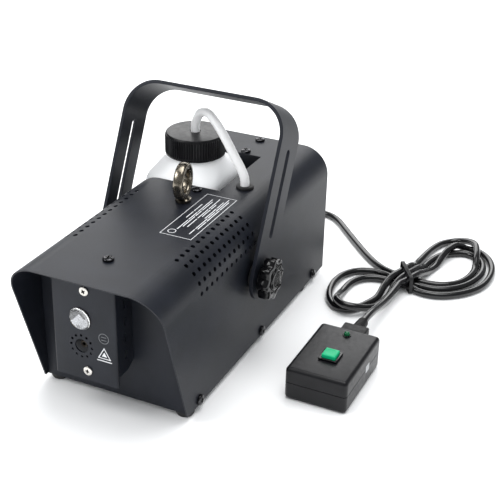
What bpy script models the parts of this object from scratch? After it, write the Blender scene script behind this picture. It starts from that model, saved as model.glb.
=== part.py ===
"""Compact fog machine with a fluid bottle, a tilting yoke and a wired remote.

Units are metres, +Z is up and the front looks along -Y.
The origin is the centre of the base tray's underside; the feet stand FOOT_H below it.
"""
from math import cos, pi, radians, sin, tau

import bmesh
import bpy
from mathutils import Matrix, Vector

MM = 0.001

# ---------------------------------------------------------------- driving dimensions
GAP = 0.3 * MM             # between pieces that touch
RUN_GAP = 0.5 * MM         # between pieces that move past each other
SHEET = 1.2 * MM           # steel sheet
HAIR = 0.02 * MM           # keeps the faces of joined pieces out of one plane

BODY_W = 130 * MM
BODY_L = 274 * MM          # from the lower front corners to the rear edge
BODY_H = 120 * MM
HOOD = 40 * MM             # how far the top reaches past the lower front corners
CORNER_R = 25.4 * MM       # outer radius of the bend between top and side
PANEL_SETBACK = 3 * MM     # front and rear panels sit inside the cover's edges
TRAY_FLANGE = 12 * MM
LIP = 9 * MM               # flange that a cover screw goes into

PRESS_STEP = 0.3 * MM      # the tray's middle is pressed down past its edges
PRESS_MARGIN = 22 * MM     # from the tray's edge to the pressed middle

FOOT_H = 5 * MM
FOOT_R = 7.5 * MM
FOOT_INSET = 8 * MM        # foot centre to the side of the body
FOOT_FRONT = 11 * MM       # foot centre to the body's front end
FOOT_REAR = 45 * MM        # foot centre to the body's rear end

SCREW_HEAD_R = 4.4 * MM
SCREW_HEAD_H = 2.4 * MM
SCREW_R = 1.5 * MM
SCREW_L = 6 * MM
SIDE_SCREW_Z = 4.6 * MM
SIDE_SCREW_FRONT = 19.5 * MM   # first side screw to the front end
SIDE_SCREW_PITCH = 113.7 * MM

VENT_COLUMNS = 12
VENT_ROWS = 5
VENT_PITCH = 8.34 * MM
VENT_D = 3.8 * MM
VENT_START = 23.6 * MM     # first column to the front end
VENT_OFFSET = 4.5 * MM     # first row past the start of the bend, along the sheet

SHIELD_W = 55.2 * MM
SHIELD_X = -10.8 * MM      # the shield sits left of the middle
SHIELD_DEPTH = 23 * MM     # front face ahead of the front panel
SHIELD_Z0 = 23.5 * MM
SHIELD_TOP_DROP = 14.5 * MM    # shield's upper edge below the cover's top
SHIELD_FLANGE_Z0 = 32.4 * MM
STUD_R = 3.5 * MM
SHIELD_SCREW_R = 3.8 * MM
SHIELD_SCREW_OFF = 1.6 * MM    # both screws, right of the shield's middle
UPPER_SCREW_DROP = 3.9 * MM    # below the shield's upper edge
LOWER_SCREW_Z = 32.3 * MM

OUTLET_X = -14 * MM        # the nozzle and the lens share this line
NOZZLE_Z = 53 * MM
NOZZLE_HOLE_R = 5.8 * MM
NOZZLE_R = 5 * MM
NOZZLE_BORE_R = 1.2 * MM
RING_HOLES = 12
RING_HOLE_R = 1.1 * MM
RING_PITCH_R = 9.2 * MM
LENS_Z = 76.8 * MM
LENS_R = 9.3 * MM
LENS_RISE = 3.5 * MM

BAY_X = 17.2 * MM          # right edge of the bottle's cut-out
BAY_FRONT = 146.7 * MM     # cut-out, measured from the front end
BAY_REAR = 229.6 * MM
BAY_SILL = 36 * MM         # the cut-out runs this far down the left side
BOTTLE_CLEAR = 3.2 * MM
BOTTLE_W = 69 * MM
BOTTLE_CORNER = 14 * MM
BOTTLE_WALL = 1.2 * MM
SHOULDER_DROP = 9 * MM     # where the body starts to slope, below the cover's top
NECK_RISE = 11 * MM        # where the neck starts, above the cover's top
NECK_R = 22 * MM
CAP_R = 26.5 * MM
CAP_H = 19.5 * MM
CAP_WALL = 2 * MM

TUBE_R = 3.9 * MM
GROMMET_R = 7.5 * MM
GROMMET_X = 33 * MM
GROMMET_Y = 25.8 * MM

EYE_Y = -22 * MM
EYE_RING_R = 12.6 * MM
EYE_WIRE_R = 3 * MM
EYE_BAND = 8.4 * MM        # the ring's width along its axis
EYE_TURN = radians(10)     # where the bolt stopped when it was screwed tight

YOKE_CLEAR = 5.1 * MM      # from the body's side to the inside of an arm
YOKE_T = 3 * MM
YOKE_STRAP = 38 * MM
YOKE_RISE = 140 * MM       # pivot to the outside of the bar
YOKE_BEND_R = 29 * MM
YOKE_TILT = radians(25.8)  # leaned back at rest
PIVOT_Y = -23.4 * MM
PIVOT_DROP = 51 * MM       # pivot below the cover's top
SLOT_W = 6.4 * MM
SLOT_LOW = 31.5 * MM       # slot ends, from the pivot
SLOT_HIGH = 104.5 * MM
KNOB_R = 17.8 * MM
KNOB_H = 12 * MM
KNOB_LOBES = 8
KNOB_LOBE_DEPTH = 3 * MM
KNOB_STUD_R = 3 * MM
SPACER_R = 11 * MM

REMOTE_X = 142.9 * MM      # middle of the remote
REMOTE_Y = -34.65 * MM
REMOTE_W = 52 * MM
REMOTE_L = 77.9 * MM
REMOTE_H = 29 * MM
REMOTE_PARTING = 15.6 * MM
REMOTE_PLUG_UP = 19.7 * MM     # plug's centre above the remote's underside
REMOTE_WALL = 2 * MM
REMOTE_ROUND = 3.5 * MM
KEY_X = 0.4 * MM           # button and light, from the remote's middle
BUTTON_Y = -8.9 * MM
BUTTON_W = 11.6 * MM
BUTTON_RISE = 4.6 * MM
FRAME_W = 15.6 * MM
FRAME_RISE = 1.8 * MM
LED_Y = 27.6 * MM
LED_R = 2.5 * MM

CORD_R = 3.35 * MM
SOCKET_X = -7 * MM         # where the remote's cord plugs into the rear panel
SOCKET_Z = 42 * MM
PLUG_W = 22 * MM
PLUG_H = 12 * MM
PLUG_L = 14 * MM
BOOT_L = 15 * MM
BOOT_R = 6 * MM

INLET_X, INLET_Z = 36 * MM, 34 * MM
INLET_W, INLET_H, INLET_DEPTH = 27 * MM, 20 * MM, 22 * MM
SWITCH_X, SWITCH_Z = 36 * MM, 76 * MM
SWITCH_W, SWITCH_H = 13 * MM, 19 * MM
FUSE_X, FUSE_Z = 4 * MM, 78 * MM
FUSE_R = 6 * MM

HEATER_SIZE = (46 * MM, 90 * MM, 40 * MM)
HEATER_BACK_OFF = 16 * MM  # heater block behind the front panel
PUMP_COIL = 25 * MM
PUMP_Z0, PUMP_Z1 = 34 * MM, 74 * MM
BOARD_SIZE = (38 * MM, 84 * MM, 1.6 * MM)

# ---------------------------------------------------------------- worked-out places
FRONT = -BODY_L / 2
REAR = BODY_L / 2
FLOOR = -FOOT_H
IN_W = BODY_W / 2 - SHEET - GAP          # half the room inside the cover
IN_R = CORNER_R - SHEET - GAP
YOKE_HALF_W = BODY_W / 2 + YOKE_CLEAR + YOKE_T
IN_TOP = BODY_H - SHEET - GAP
PANEL_Y = FRONT + PANEL_SETBACK          # outer face of the front panel
BACK_Y = REAR - PANEL_SETBACK            # outer face of the rear panel
SHIELD_Y = PANEL_Y - SHIELD_DEPTH
SHIELD_Z1 = BODY_H - SHIELD_TOP_DROP
SHIELD_SCREW_UPPER = (SHIELD_SCREW_OFF, SHIELD_Z1 - UPPER_SCREW_DROP)
SHIELD_SCREW_LOWER = (SHIELD_SCREW_OFF, LOWER_SCREW_Z)
BAY_Y0 = FRONT + BAY_FRONT
BAY_Y1 = FRONT + BAY_REAR
BOTTLE_L = BAY_REAR - BAY_FRONT - 2 * BOTTLE_CLEAR
BOTTLE_X = -IN_W + SHEET + 2 * GAP + BOTTLE_W / 2
BOTTLE_Y = (BAY_Y0 + BAY_Y1) / 2
BOTTLE_SHOULDER = BODY_H - SHOULDER_DROP
NECK_Z = BODY_H + NECK_RISE
PIVOT_Z = BODY_H - PIVOT_DROP
TOP_SCREW_Y = (FRONT, BAY_Y0 - 8 * MM, BAY_Y1 + 4.5 * MM, REAR - 9.5 * MM)
FEET = {
    "foot_front_left": (-1, FRONT + FOOT_FRONT),
    "foot_front_right": (1, FRONT + FOOT_FRONT),
    "foot_rear_left": (-1, REAR - FOOT_REAR),
    "foot_rear_right": (1, REAR - FOOT_REAR),
}

# ---------------------------------------------------------------- cord and tube routes
# Points chosen by hand, in metres.  The cord leaves the rear plug, drops to the floor, turns
# behind the body and comes forward on its right; its last stretch runs back to the remote.
PLUG_TAIL = PLUG_L + BOOT_L + 3 * GAP
CORD_Z = FLOOR + CORD_R
LEAD_POINTS = [
    (SOCKET_X, BACK_Y + 2 * MM + PLUG_TAIL, SOCKET_Z),
    (SOCKET_X, 0.176, 0.0410), (-0.0070, 0.188, 0.0350), (-0.0070, 0.200, 0.0230),
    (-0.0070, 0.211, 0.0095), (-0.0045, 0.223, 0.0005), (0.0020, 0.236, CORD_Z),
    (0.0115, 0.2455, CORD_Z), (0.0225, 0.249, CORD_Z), (0.0330, 0.246, CORD_Z),
    (0.0430, 0.2385, CORD_Z), (0.0550, 0.2250, CORD_Z), (0.0690, 0.2090, CORD_Z),
    (0.0860, 0.1900, CORD_Z), (0.1010, 0.1745, CORD_Z), (0.1148, 0.1634, CORD_Z),
]
TAIL_POINTS = [
    (REMOTE_X + KEY_X, REMOTE_Y + REMOTE_L / 2 + PLUG_TAIL, FLOOR + REMOTE_PLUG_UP),
    (0.1434, 0.0440, 0.0145), (0.1436, 0.0560, 0.0131), (0.1440, 0.0700, 0.0104),
    (0.1446, 0.0860, 0.0080), (0.1452, 0.1020, 0.0070), (0.1456, 0.1160, 0.0070),
    (0.1458, 0.1255, 0.0070),
]
# From the floor of the bottle up through the cap, over in an arch and down to the pump.
TUBE_POINTS = [
    (BOTTLE_X, BOTTLE_Y, 0.012), (BOTTLE_X, BOTTLE_Y, 0.060), (BOTTLE_X, BOTTLE_Y, 0.110),
    (BOTTLE_X, BOTTLE_Y, BODY_H + 0.0320), (BOTTLE_X + 0.0015, BOTTLE_Y - 0.0006, BODY_H + 0.0415),
    (BOTTLE_X + 0.0065, BOTTLE_Y - 0.0027, BODY_H + 0.0495),
    (BOTTLE_X + 0.0150, BOTTLE_Y - 0.0062, BODY_H + 0.0522),
    (-0.0040, 0.0410, BODY_H + 0.0485), (0.0045, 0.0375, BODY_H + 0.0415),
    (0.0125, 0.0342, BODY_H + 0.0330), (0.0205, 0.0309, BODY_H + 0.0237),
    (0.0272, 0.0282, BODY_H + 0.0165), (GROMMET_X - 0.0008, GROMMET_Y + 0.0003, BODY_H + 0.0090),
    (GROMMET_X, GROMMET_Y, BODY_H + 0.0025), (GROMMET_X, GROMMET_Y, BODY_H - 0.0050),
    (GROMMET_X, GROMMET_Y, BODY_H - 0.0170), (GROMMET_X, GROMMET_Y, PUMP_Z1 + 21 * MM + GAP),
]

# The tied-up middle of the cord: two loops side by side that meet in a waist.
BUNDLE_LIFT = 1.3 * MM
LOOP_BAND = 20 * MM
LOOP_RIGHT = {"centre": (0.1790, 0.1900), "half": (0.0660, 0.0360), "turn": radians(66)}
LOOP_LEFT = {"centre": (0.1180, 0.1130), "half": (0.0520, 0.0335), "turn": radians(68)}
WAIST = (0.1460, 0.1460)
WAIST_SIZE = (30 * MM, 27 * MM, 14 * MM)
TIE_TURN = radians(33)
TIE_WINDOW = (33 * MM, 15.6 * MM)
TIE_T = 1 * MM
TIE_W = 3.2 * MM


# ---------------------------------------------------------------- scene and helpers
def clear_scene():
    for obj in list(bpy.data.objects):
        bpy.data.objects.remove(obj, do_unlink=True)


clear_scene()
PARTS = bpy.data.collections.new("fog_machine")
bpy.context.scene.collection.children.link(PARTS)

TO_FRONT = Matrix.Rotation(pi / 2, 4, "X")     # turns +Z to -Y
TO_REAR = Matrix.Rotation(-pi / 2, 4, "X")     # turns +Z to +Y
TO_RIGHT = Matrix.Rotation(pi / 2, 4, "Y")     # turns +Z to +X
TO_LEFT = Matrix.Rotation(-pi / 2, 4, "Y")     # turns +Z to -X

# colour, roughness, metallic, alpha
FINISHES = {
    "powder_coat": ((0.030, 0.033, 0.038), 0.55, 0.0, 1.0),
    "black_screw": ((0.012, 0.012, 0.013), 0.30, 0.8, 1.0),
    "zinc": ((0.72, 0.72, 0.70), 0.28, 1.0, 1.0),
    "aluminium": ((0.62, 0.63, 0.65), 0.40, 1.0, 1.0),
    "brass": ((0.75, 0.56, 0.25), 0.30, 1.0, 1.0),
    "copper": ((0.78, 0.42, 0.28), 0.30, 1.0, 1.0),
    "black_rubber": ((0.012, 0.012, 0.012), 0.70, 0.0, 1.0),
    "black_abs": ((0.020, 0.020, 0.022), 0.42, 0.0, 1.0),
    "gloss_black": ((0.010, 0.010, 0.011), 0.20, 0.0, 1.0),
    "bottle_hdpe": ((0.86, 0.89, 0.88), 0.45, 0.0, 0.75),
    "silicone": ((0.88, 0.89, 0.89), 0.35, 0.0, 0.80),
    "clear_pmma": ((0.90, 0.92, 0.94), 0.08, 0.0, 0.35),
    "green_key": ((0.020, 0.380, 0.190), 0.35, 0.0, 1.0),
    "green_led": ((0.010, 0.160, 0.070), 0.20, 0.0, 0.80),
    "board_green": ((0.020, 0.130, 0.060), 0.50, 0.0, 1.0),
    "pvc_cord": ((0.016, 0.016, 0.017), 0.38, 0.0, 1.0),
}


def add_object(name, mesh):
    obj = bpy.data.objects.new(name, mesh)
    PARTS.objects.link(obj)
    return obj


def object_from(bm, place=Matrix()):
    """An object from a bmesh, moved by place, with its faces pointing out."""
    bmesh.ops.transform(bm, matrix=place, verts=bm.verts)
    bmesh.ops.remove_doubles(bm, verts=bm.verts, dist=1e-6)
    bmesh.ops.recalc_face_normals(bm, faces=bm.faces)
    mesh = bpy.data.meshes.new("shape")
    bm.to_mesh(mesh)
    bm.free()
    return add_object("shape", mesh)


def applied(obj, place=Matrix()):
    """Replaces a curve, or an object with modifiers, by the closed mesh that it shows."""
    depsgraph = bpy.context.evaluated_depsgraph_get()
    mesh = bpy.data.meshes.new_from_object(obj.evaluated_get(depsgraph))
    bm = bmesh.new()
    bm.from_mesh(mesh)
    bpy.data.objects.remove(obj, do_unlink=True)
    bpy.data.meshes.remove(mesh)
    return object_from(bm, place)


def box(low, high):
    bm = bmesh.new()
    bmesh.ops.create_cube(bm, size=1.0)
    low, high = Vector(low), Vector(high)
    size = high - low
    bmesh.ops.transform(bm, matrix=Matrix.Diagonal((*size, 1.0)), verts=bm.verts)
    return object_from(bm, Matrix.Translation((low + high) / 2))


def soft_box(low, high, radius, segments=2):
    """A box with all its edges rounded."""
    obj = box(low, high)
    bevel = obj.modifiers.new("round", "BEVEL")
    bevel.width = radius
    bevel.segments = segments
    bevel.limit_method = "NONE"
    return applied(obj)


def rod(start, end, radius, end_radius=None, segments=16):
    start, end = Vector(start), Vector(end)
    along = end - start
    bm = bmesh.new()
    bmesh.ops.create_cone(
        bm, cap_ends=True, segments=segments, radius1=radius,
        radius2=radius if end_radius is None else end_radius, depth=along.length)
    turn = along.to_track_quat("Z", "Y").to_matrix().to_4x4()
    return object_from(bm, Matrix.Translation((start + end) / 2) @ turn)


def turned(profile, place, steps=20, closed=False):
    """A profile of (radius, height) points turned about Z, then put in its place."""
    count = len(profile)
    edges = [(i, i + 1) for i in range(count - 1)]
    if closed:
        edges.append((count - 1, 0))
    mesh = bpy.data.meshes.new("profile")
    mesh.from_pydata([(r, 0.0, h) for r, h in profile], edges, [])
    obj = add_object("profile", mesh)
    screw = obj.modifiers.new("turn", "SCREW")
    screw.steps = steps
    screw.render_steps = steps
    screw.use_merge_vertices = True
    screw.merge_threshold = 1e-6
    return applied(obj, place)


def outline_curve(loops, half_thickness):
    curve = bpy.data.curves.new("outline", "CURVE")
    curve.dimensions = "2D"
    curve.fill_mode = "BOTH"
    curve.extrude = half_thickness
    for loop in loops:
        spline = curve.splines.new("POLY")
        spline.points.add(len(loop) - 1)
        for point, (u, v) in zip(spline.points, loop):
            point.co = (u, v, 0.0, 1.0)
        spline.use_cyclic_u = True
    return add_object("outline", curve)


def plate(outline, axis, low, high, holes=()):
    """A flat outline with holes, from low to high along an axis.

    The outline is in the two other coordinates, in the order X, Y, Z.
    """
    columns = {
        "X": ((0, 1, 0), (0, 0, 1), (1, 0, 0)),
        "Y": ((1, 0, 0), (0, 0, 1), (0, 1, 0)),
        "Z": ((1, 0, 0), (0, 1, 0), (0, 0, 1)),
    }[axis]
    place = Matrix(columns).transposed().to_4x4()
    place.translation = Vector(columns[2]) * (low + high) / 2
    obj = outline_curve([outline, *holes], (high - low) / 2)
    return applied(obj, place)


def tube(points, radius, resolution=2):
    curve = bpy.data.curves.new("route", "CURVE")
    curve.dimensions = "3D"
    curve.bevel_depth = radius
    curve.bevel_resolution = resolution
    curve.use_fill_caps = True
    spline = curve.splines.new("POLY")
    spline.points.add(len(points) - 1)
    for point, place in zip(spline.points, points):
        point.co = (*place, 1.0)
    return applied(add_object("route", curve))


def smooth_route(points, spacing):
    """Points about spacing apart on a smooth curve through the given ones."""
    knots = [Vector(p) for p in points]
    knots = [2 * knots[0] - knots[1], *knots, 2 * knots[-1] - knots[-2]]
    route = [knots[1]]
    for before, start, end, after in zip(knots, knots[1:], knots[2:], knots[3:]):
        steps = max(1, round((end - start).length / spacing))
        for step in range(1, steps + 1):
            t = step / steps
            pull = (end - before) * t + (2 * before - 5 * start + 4 * end - after) * t ** 2
            route.append(start + (pull + (3 * start - before - 3 * end + after) * t ** 3) / 2)
    return route


def combine(target, operation, *tools):
    """Adds, cuts or keeps the common space with an exact Boolean, and removes the tools."""
    for tool in tools:
        modifier = target.modifiers.new("shape", "BOOLEAN")
        modifier.operation = operation
        modifier.solver = "EXACT"
        modifier.object = tool
        target = applied(target)
        bpy.data.objects.remove(tool, do_unlink=True)
    return target


def join(*shapes):
    return combine(shapes[0], "UNION", *shapes[1:])


def cut(target, *tools):
    return combine(target, "DIFFERENCE", *tools)


def many(shapes):
    """One object from several that don't touch, to cut with all of them at once."""
    bm = bmesh.new()
    for shape in shapes:
        bm.from_mesh(shape.data)
        bpy.data.objects.remove(shape, do_unlink=True)
    return object_from(bm)


def finish(name, obj, kind, pivot=None):
    """Names a finished part, gives it its material and puts its origin on its axis."""
    obj.name = name
    obj.data.name = name
    colour, roughness, metallic, alpha = FINISHES[kind]
    material = bpy.data.materials.new(f"{name}_{kind}")
    material.use_nodes = True
    shader = material.node_tree.nodes["Principled BSDF"]
    shader.inputs["Base Color"].default_value = (*colour, 1.0)
    shader.inputs["Roughness"].default_value = roughness
    shader.inputs["Metallic"].default_value = metallic
    shader.inputs["Alpha"].default_value = alpha
    obj.data.materials.clear()
    obj.data.materials.append(material)
    obj.data.shade_smooth()
    obj.data.set_sharp_from_angle(angle=radians(35))
    if pivot is not None:
        obj.data.transform(Matrix.Translation(-Vector(pivot)))
        obj.location = pivot
    return obj


def circle(u, v, radius, count=20):
    return [(u + radius * cos(tau * i / count), v + radius * sin(tau * i / count))
            for i in range(count)]


def rectangle(u, v, width, height, radius=0.0, steps=4):
    """A rectangle about its middle, with its corners rounded where radius is given."""
    half_u, half_v = width / 2 - radius, height / 2 - radius
    if radius == 0:
        return [(u + a * half_u, v + b * half_v) for a, b in ((1, 1), (-1, 1), (-1, -1), (1, -1))]
    points = []
    for corner, (a, b) in enumerate(((1, 1), (-1, 1), (-1, -1), (1, -1))):
        for step in range(steps + 1):
            angle = pi / 2 * (corner + step / steps)
            points.append((u + a * half_u + radius * cos(angle),
                           v + b * half_v + radius * sin(angle)))
    return points


def arch(half_width, low, high, radius, steps=6):
    """The outline of an upright panel: square below, rounded at its two upper corners."""
    points = [(-half_width, low), (half_width, low)]
    for side, first in ((1, 0.0), (-1, pi / 2)):
        for step in range(steps + 1):
            angle = first + pi / 2 * step / steps
            points.append((side * (half_width - radius) + radius * cos(angle),
                           high - radius + radius * sin(angle)))
    return points


def bend_place(side, length):
    """A point on the cover's outside and its normal, at a length along the sheet from the
    start of the bend between the top and one side."""
    angle = min(length / CORNER_R, pi / 2)
    down = max(length - CORNER_R * pi / 2, 0.0)
    normal = Vector((side * sin(angle), 0.0, cos(angle)))
    centre = Vector((side * (BODY_W / 2 - CORNER_R), 0.0, BODY_H - CORNER_R))
    return centre + normal * CORNER_R - Vector((0.0, 0.0, down)), normal


# ---------------------------------------------------------------- screws
def pan_screw_mesh():
    return turned([
        (0.0, SCREW_HEAD_H + GAP), (SCREW_HEAD_R * 0.62, SCREW_HEAD_H * 0.9 + GAP),
        (SCREW_HEAD_R * 0.95, SCREW_HEAD_H * 0.45 + GAP), (SCREW_HEAD_R, GAP),
        (SCREW_R, GAP), (SCREW_R, -SCREW_L), (0.0, -SCREW_L)], Matrix(), steps=10)


def side_screw_places():
    for side, word in ((-1, "left"), (1, "right")):
        for i in range(3):
            y = FRONT + SIDE_SCREW_FRONT + i * SIDE_SCREW_PITCH
            yield f"side_screw_{word}_{i + 1}", side, y


def make_screws():
    first = pan_screw_mesh()
    shared = first.data
    bpy.data.objects.remove(first, do_unlink=True)
    for i, y in enumerate(TOP_SCREW_Y):
        screw = finish(f"top_screw_{i + 1}", add_object("screw", shared.copy()), "black_screw")
        screw.location = (0.0, y, BODY_H)
    for name, side, y in side_screw_places():
        screw = finish(name, add_object("screw", shared.copy()), "black_screw")
        screw.location = (side * BODY_W / 2, y, SIDE_SCREW_Z)
        screw.rotation_euler = (0.0, side * pi / 2, 0.0)


def side_screw_holes(reach):
    """Cutters through the cover's sides and the tray's flanges."""
    radius = SCREW_R + GAP
    return many([rod((side * (IN_W - reach), y, SIDE_SCREW_Z),
                     (side * (BODY_W / 2 + reach), y, SIDE_SCREW_Z), radius, segments=12)
                 for _, side, y in side_screw_places()])


def top_hole(x, y, radius, segments=14):
    return rod((x, y, IN_TOP - 6 * MM), (x, y, BODY_H + 6 * MM), radius, segments=segments)


# ---------------------------------------------------------------- housing
def make_top_cover():
    outer = arch(BODY_W / 2, 0.0, BODY_H, CORNER_R)
    inner = arch(BODY_W / 2 - SHEET, -1 * MM, BODY_H - SHEET, CORNER_R - SHEET)
    cover = cut(plate(outer, "Y", FRONT - HOOD, REAR),
                plate(inner, "Y", FRONT - HOOD - 1 * MM, REAR + 1 * MM))
    slope = HOOD / BODY_H
    spare = 5 * MM
    slant = plate([(FRONT + spare * slope, -spare), (FRONT - HOOD - spare * slope, BODY_H + spare),
                   (FRONT - 2 * HOOD, BODY_H + spare), (FRONT - 2 * HOOD, -spare)],
                  "X", -BODY_W, BODY_W)
    bottle_cut = box((-BODY_W, BAY_Y0, BAY_SILL), (BAY_X, BAY_Y1, 2 * BODY_H))
    vents = []
    for side in (-1, 1):
        for row in range(VENT_ROWS):
            place, normal = bend_place(side, VENT_OFFSET + row * VENT_PITCH)
            for column in range(VENT_COLUMNS):
                along = Vector((0.0, FRONT + VENT_START + column * VENT_PITCH, 0.0))
                vents.append(rod(place + along - 2 * SHEET * normal,
                                 place + along + 2 * SHEET * normal, VENT_D / 2, segments=6))
    holes = [top_hole(0.0, y, SCREW_R + GAP) for y in TOP_SCREW_Y]
    holes.append(top_hole(0.0, EYE_Y, EYE_WIRE_R))
    holes.append(top_hole(GROMMET_X, GROMMET_Y, GROMMET_R - 1.9 * MM, segments=20))
    holes.extend(rod((side * IN_W / 2, PIVOT_Y, PIVOT_Z), (side * BODY_W, PIVOT_Y, PIVOT_Z),
                     KNOB_STUD_R + RUN_GAP) for side in (-1, 1))
    cover = cut(cover, slant, bottle_cut, many(vents), many(holes), side_screw_holes(3 * MM))
    finish("top_cover", cover, "powder_coat")


def shield_screw_places():
    for name, (x, z) in (("upper", SHIELD_SCREW_UPPER), ("lower", SHIELD_SCREW_LOWER)):
        yield f"shield_screw_{name}", SHIELD_X + x, z


def make_base_tray():
    tray_end = BACK_Y - SHEET - GAP
    inside = PANEL_Y + SHEET / 2
    floor = box((2 * HAIR - IN_W, inside, 0.0), (IN_W - 2 * HAIR, tray_end, SHEET))
    sides = [box((low, inside, HAIR), (low + SHEET, tray_end - HAIR, TRAY_FLANGE))
             for low in (HAIR - IN_W, IN_W - HAIR - SHEET)]
    nozzle_hole = circle(OUTLET_X, NOZZLE_Z, NOZZLE_R + 1.5 * MM)
    front = plate(arch(IN_W, 2 * HAIR, IN_TOP, IN_R), "Y", PANEL_Y, PANEL_Y + SHEET,
                  holes=[nozzle_hole])
    lip = box((-2 * LIP, TOP_SCREW_Y[0] - LIP / 2, IN_TOP - SHEET),
              (2 * LIP, PANEL_Y + SHEET / 2, IN_TOP - HAIR))
    tray = join(floor, *sides, front, lip)
    for _, x, z in shield_screw_places():
        stud = rod((x, PANEL_Y + SHEET / 2, z), (x, SHIELD_Y + SHEET + GAP, z), STUD_R)
        bore = rod((x, SHIELD_Y, z), (x, SHIELD_Y + SHEET + SCREW_L + 2 * MM, z), SCREW_R + GAP,
                   segments=12)
        tray = join(tray, cut(stud, bore))
    half_l = (tray_end - PANEL_Y) / 2
    middle = (tray_end + PANEL_Y) / 2
    edge = plate(rectangle(0.0, middle, 2 * BODY_W, 4 * half_l), "Z", -1 * MM, PRESS_STEP,
                 holes=[rectangle(0.0, middle, 2 * (IN_W - PRESS_MARGIN),
                                  2 * (half_l - PRESS_MARGIN), 6 * MM)])
    tray = cut(tray, top_hole(0.0, TOP_SCREW_Y[0], SCREW_R + GAP), side_screw_holes(3 * MM), edge)
    finish("base_tray", tray, "powder_coat")


def make_rear_panel():
    openings = [
        rectangle(INLET_X, INLET_Z, INLET_W + 2 * GAP, INLET_H + 2 * GAP),
        rectangle(SWITCH_X, SWITCH_Z, SWITCH_W + 2 * GAP, SWITCH_H + 2 * GAP),
        circle(FUSE_X, FUSE_Z, FUSE_R + GAP),
        rectangle(SOCKET_X, SOCKET_Z, PLUG_W - 2 * MM + 2 * GAP, PLUG_H - 2 * MM + 2 * GAP),
    ]
    panel = plate(arch(IN_W, 0.0, IN_TOP, IN_R), "Y", BACK_Y - SHEET, BACK_Y, holes=openings)
    lip_y = TOP_SCREW_Y[3] - LIP / 2
    lip = box((-2 * LIP, lip_y, IN_TOP - SHEET), (2 * LIP, BACK_Y - SHEET / 2, IN_TOP))
    foot = box((-2 * LIP, BACK_Y - 2 * LIP, SHEET + GAP),
               (2 * LIP, BACK_Y - SHEET / 2, 2 * SHEET + GAP))
    panel = cut(join(panel, lip, foot), top_hole(0.0, TOP_SCREW_Y[3], SCREW_R + GAP))
    finish("rear_panel", panel, "powder_coat")


def make_front_shield():
    low, high = SHIELD_X - SHIELD_W / 2, SHIELD_X + SHIELD_W / 2
    back = PANEL_Y - GAP
    channel = plate([(low, SHIELD_Y), (high, SHIELD_Y), (high, back), (high - SHEET, back),
                     (high - SHEET, SHIELD_Y + SHEET), (low + SHEET, SHIELD_Y + SHEET),
                     (low + SHEET, back), (low, back)], "Z", SHIELD_Z0, SHIELD_Z1)
    snip = 2 * MM
    reach = SHIELD_Y + 2 * SHEET
    flange_cut = plate([(reach, 0.0), (back + snip, 0.0),
                        (back + snip, SHIELD_FLANGE_Z0 + 4.5 * MM + snip / 2),
                        (back - 8 * MM, SHIELD_FLANGE_Z0), (reach, SHIELD_FLANGE_Z0)],
                       "X", low - snip, high + snip)
    channel = cut(channel, flange_cut)
    holes = [(circle(OUTLET_X, LENS_Z, LENS_R + GAP, 24)),
             (circle(OUTLET_X, NOZZLE_Z, NOZZLE_HOLE_R, 20))]
    holes.extend(circle(OUTLET_X + RING_PITCH_R * cos(a), NOZZLE_Z + RING_PITCH_R * sin(a),
                        RING_HOLE_R, 5) for a in (tau * i / RING_HOLES for i in range(RING_HOLES)))
    holes.extend(circle(x, z, SCREW_R + GAP, 12) for _, x, z in shield_screw_places())
    through = many([plate(hole, "Y", SHIELD_Y - snip, SHIELD_Y + SHEET + snip) for hole in holes])
    middle = SHIELD_Y + SHIELD_DEPTH * 0.55
    pitch = (SHIELD_Z1 - SHIELD_FLANGE_Z0) / 5
    slots = many([plate(rectangle(middle, SHIELD_FLANGE_Z0 + pitch * (i + 1), 2.4 * MM, 8 * MM),
                        "X", low - snip, high + snip) for i in range(4)])
    finish("front_shield", cut(channel, through, slots), "powder_coat")


def make_bottle_bay():
    wall_gap = 1.5 * MM
    left, right = -IN_W + SHEET + GAP, BAY_X + wall_gap
    front_y, rear_y = BAY_Y0 - wall_gap - SHEET, BAY_Y1 + wall_gap + SHEET
    bay = plate([(left, front_y), (right + SHEET, front_y), (right + SHEET, rear_y),
                 (left, rear_y), (left, rear_y - SHEET), (right, rear_y - SHEET),
                 (right, front_y + SHEET), (left, front_y + SHEET)],
                "Z", SHEET + GAP, IN_TOP + SHEET)
    room = plate(arch(-left, 0.0, IN_TOP, IN_R), "Y", front_y - SHEET, rear_y + SHEET)
    bay = combine(bay, "INTERSECT", room)
    lips = [box((-2 * LIP, low, IN_TOP - SHEET), (2 * LIP, high, IN_TOP)) for low, high in (
        (TOP_SCREW_Y[1] - LIP / 2, front_y + SHEET / 2),
        (rear_y - SHEET / 2, TOP_SCREW_Y[2] + LIP / 2))]
    holes = [top_hole(0.0, y, SCREW_R + GAP) for y in TOP_SCREW_Y[1:3]]
    finish("bottle_bay", cut(join(bay, *lips), *holes), "powder_coat")


def make_feet():
    top = PRESS_STEP - GAP
    profile = [(0.0, top), (FOOT_R, top), (FOOT_R, -FOOT_H * 0.55), (FOOT_R * 0.82, -FOOT_H),
               (0.0, -FOOT_H)]
    for name, (side, y) in FEET.items():
        place = Matrix.Translation((side * (BODY_W / 2 - FOOT_INSET), y, 0.0))
        finish(name, turned(profile, place, steps=20), "black_rubber")


def make_shield_screws():
    profile = [(0.0, 1.3 * MM), (SHIELD_SCREW_R * 0.6, 1.2 * MM), (SHIELD_SCREW_R, 0.6 * MM),
               (SHIELD_SCREW_R, GAP), (SCREW_R, GAP), (SCREW_R, -SCREW_L), (0.0, -SCREW_L)]
    for name, x, z in shield_screw_places():
        place = Matrix.Translation((x, SHIELD_Y, z)) @ TO_FRONT
        finish(name, turned(profile, place, steps=16), "zinc")


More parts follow.
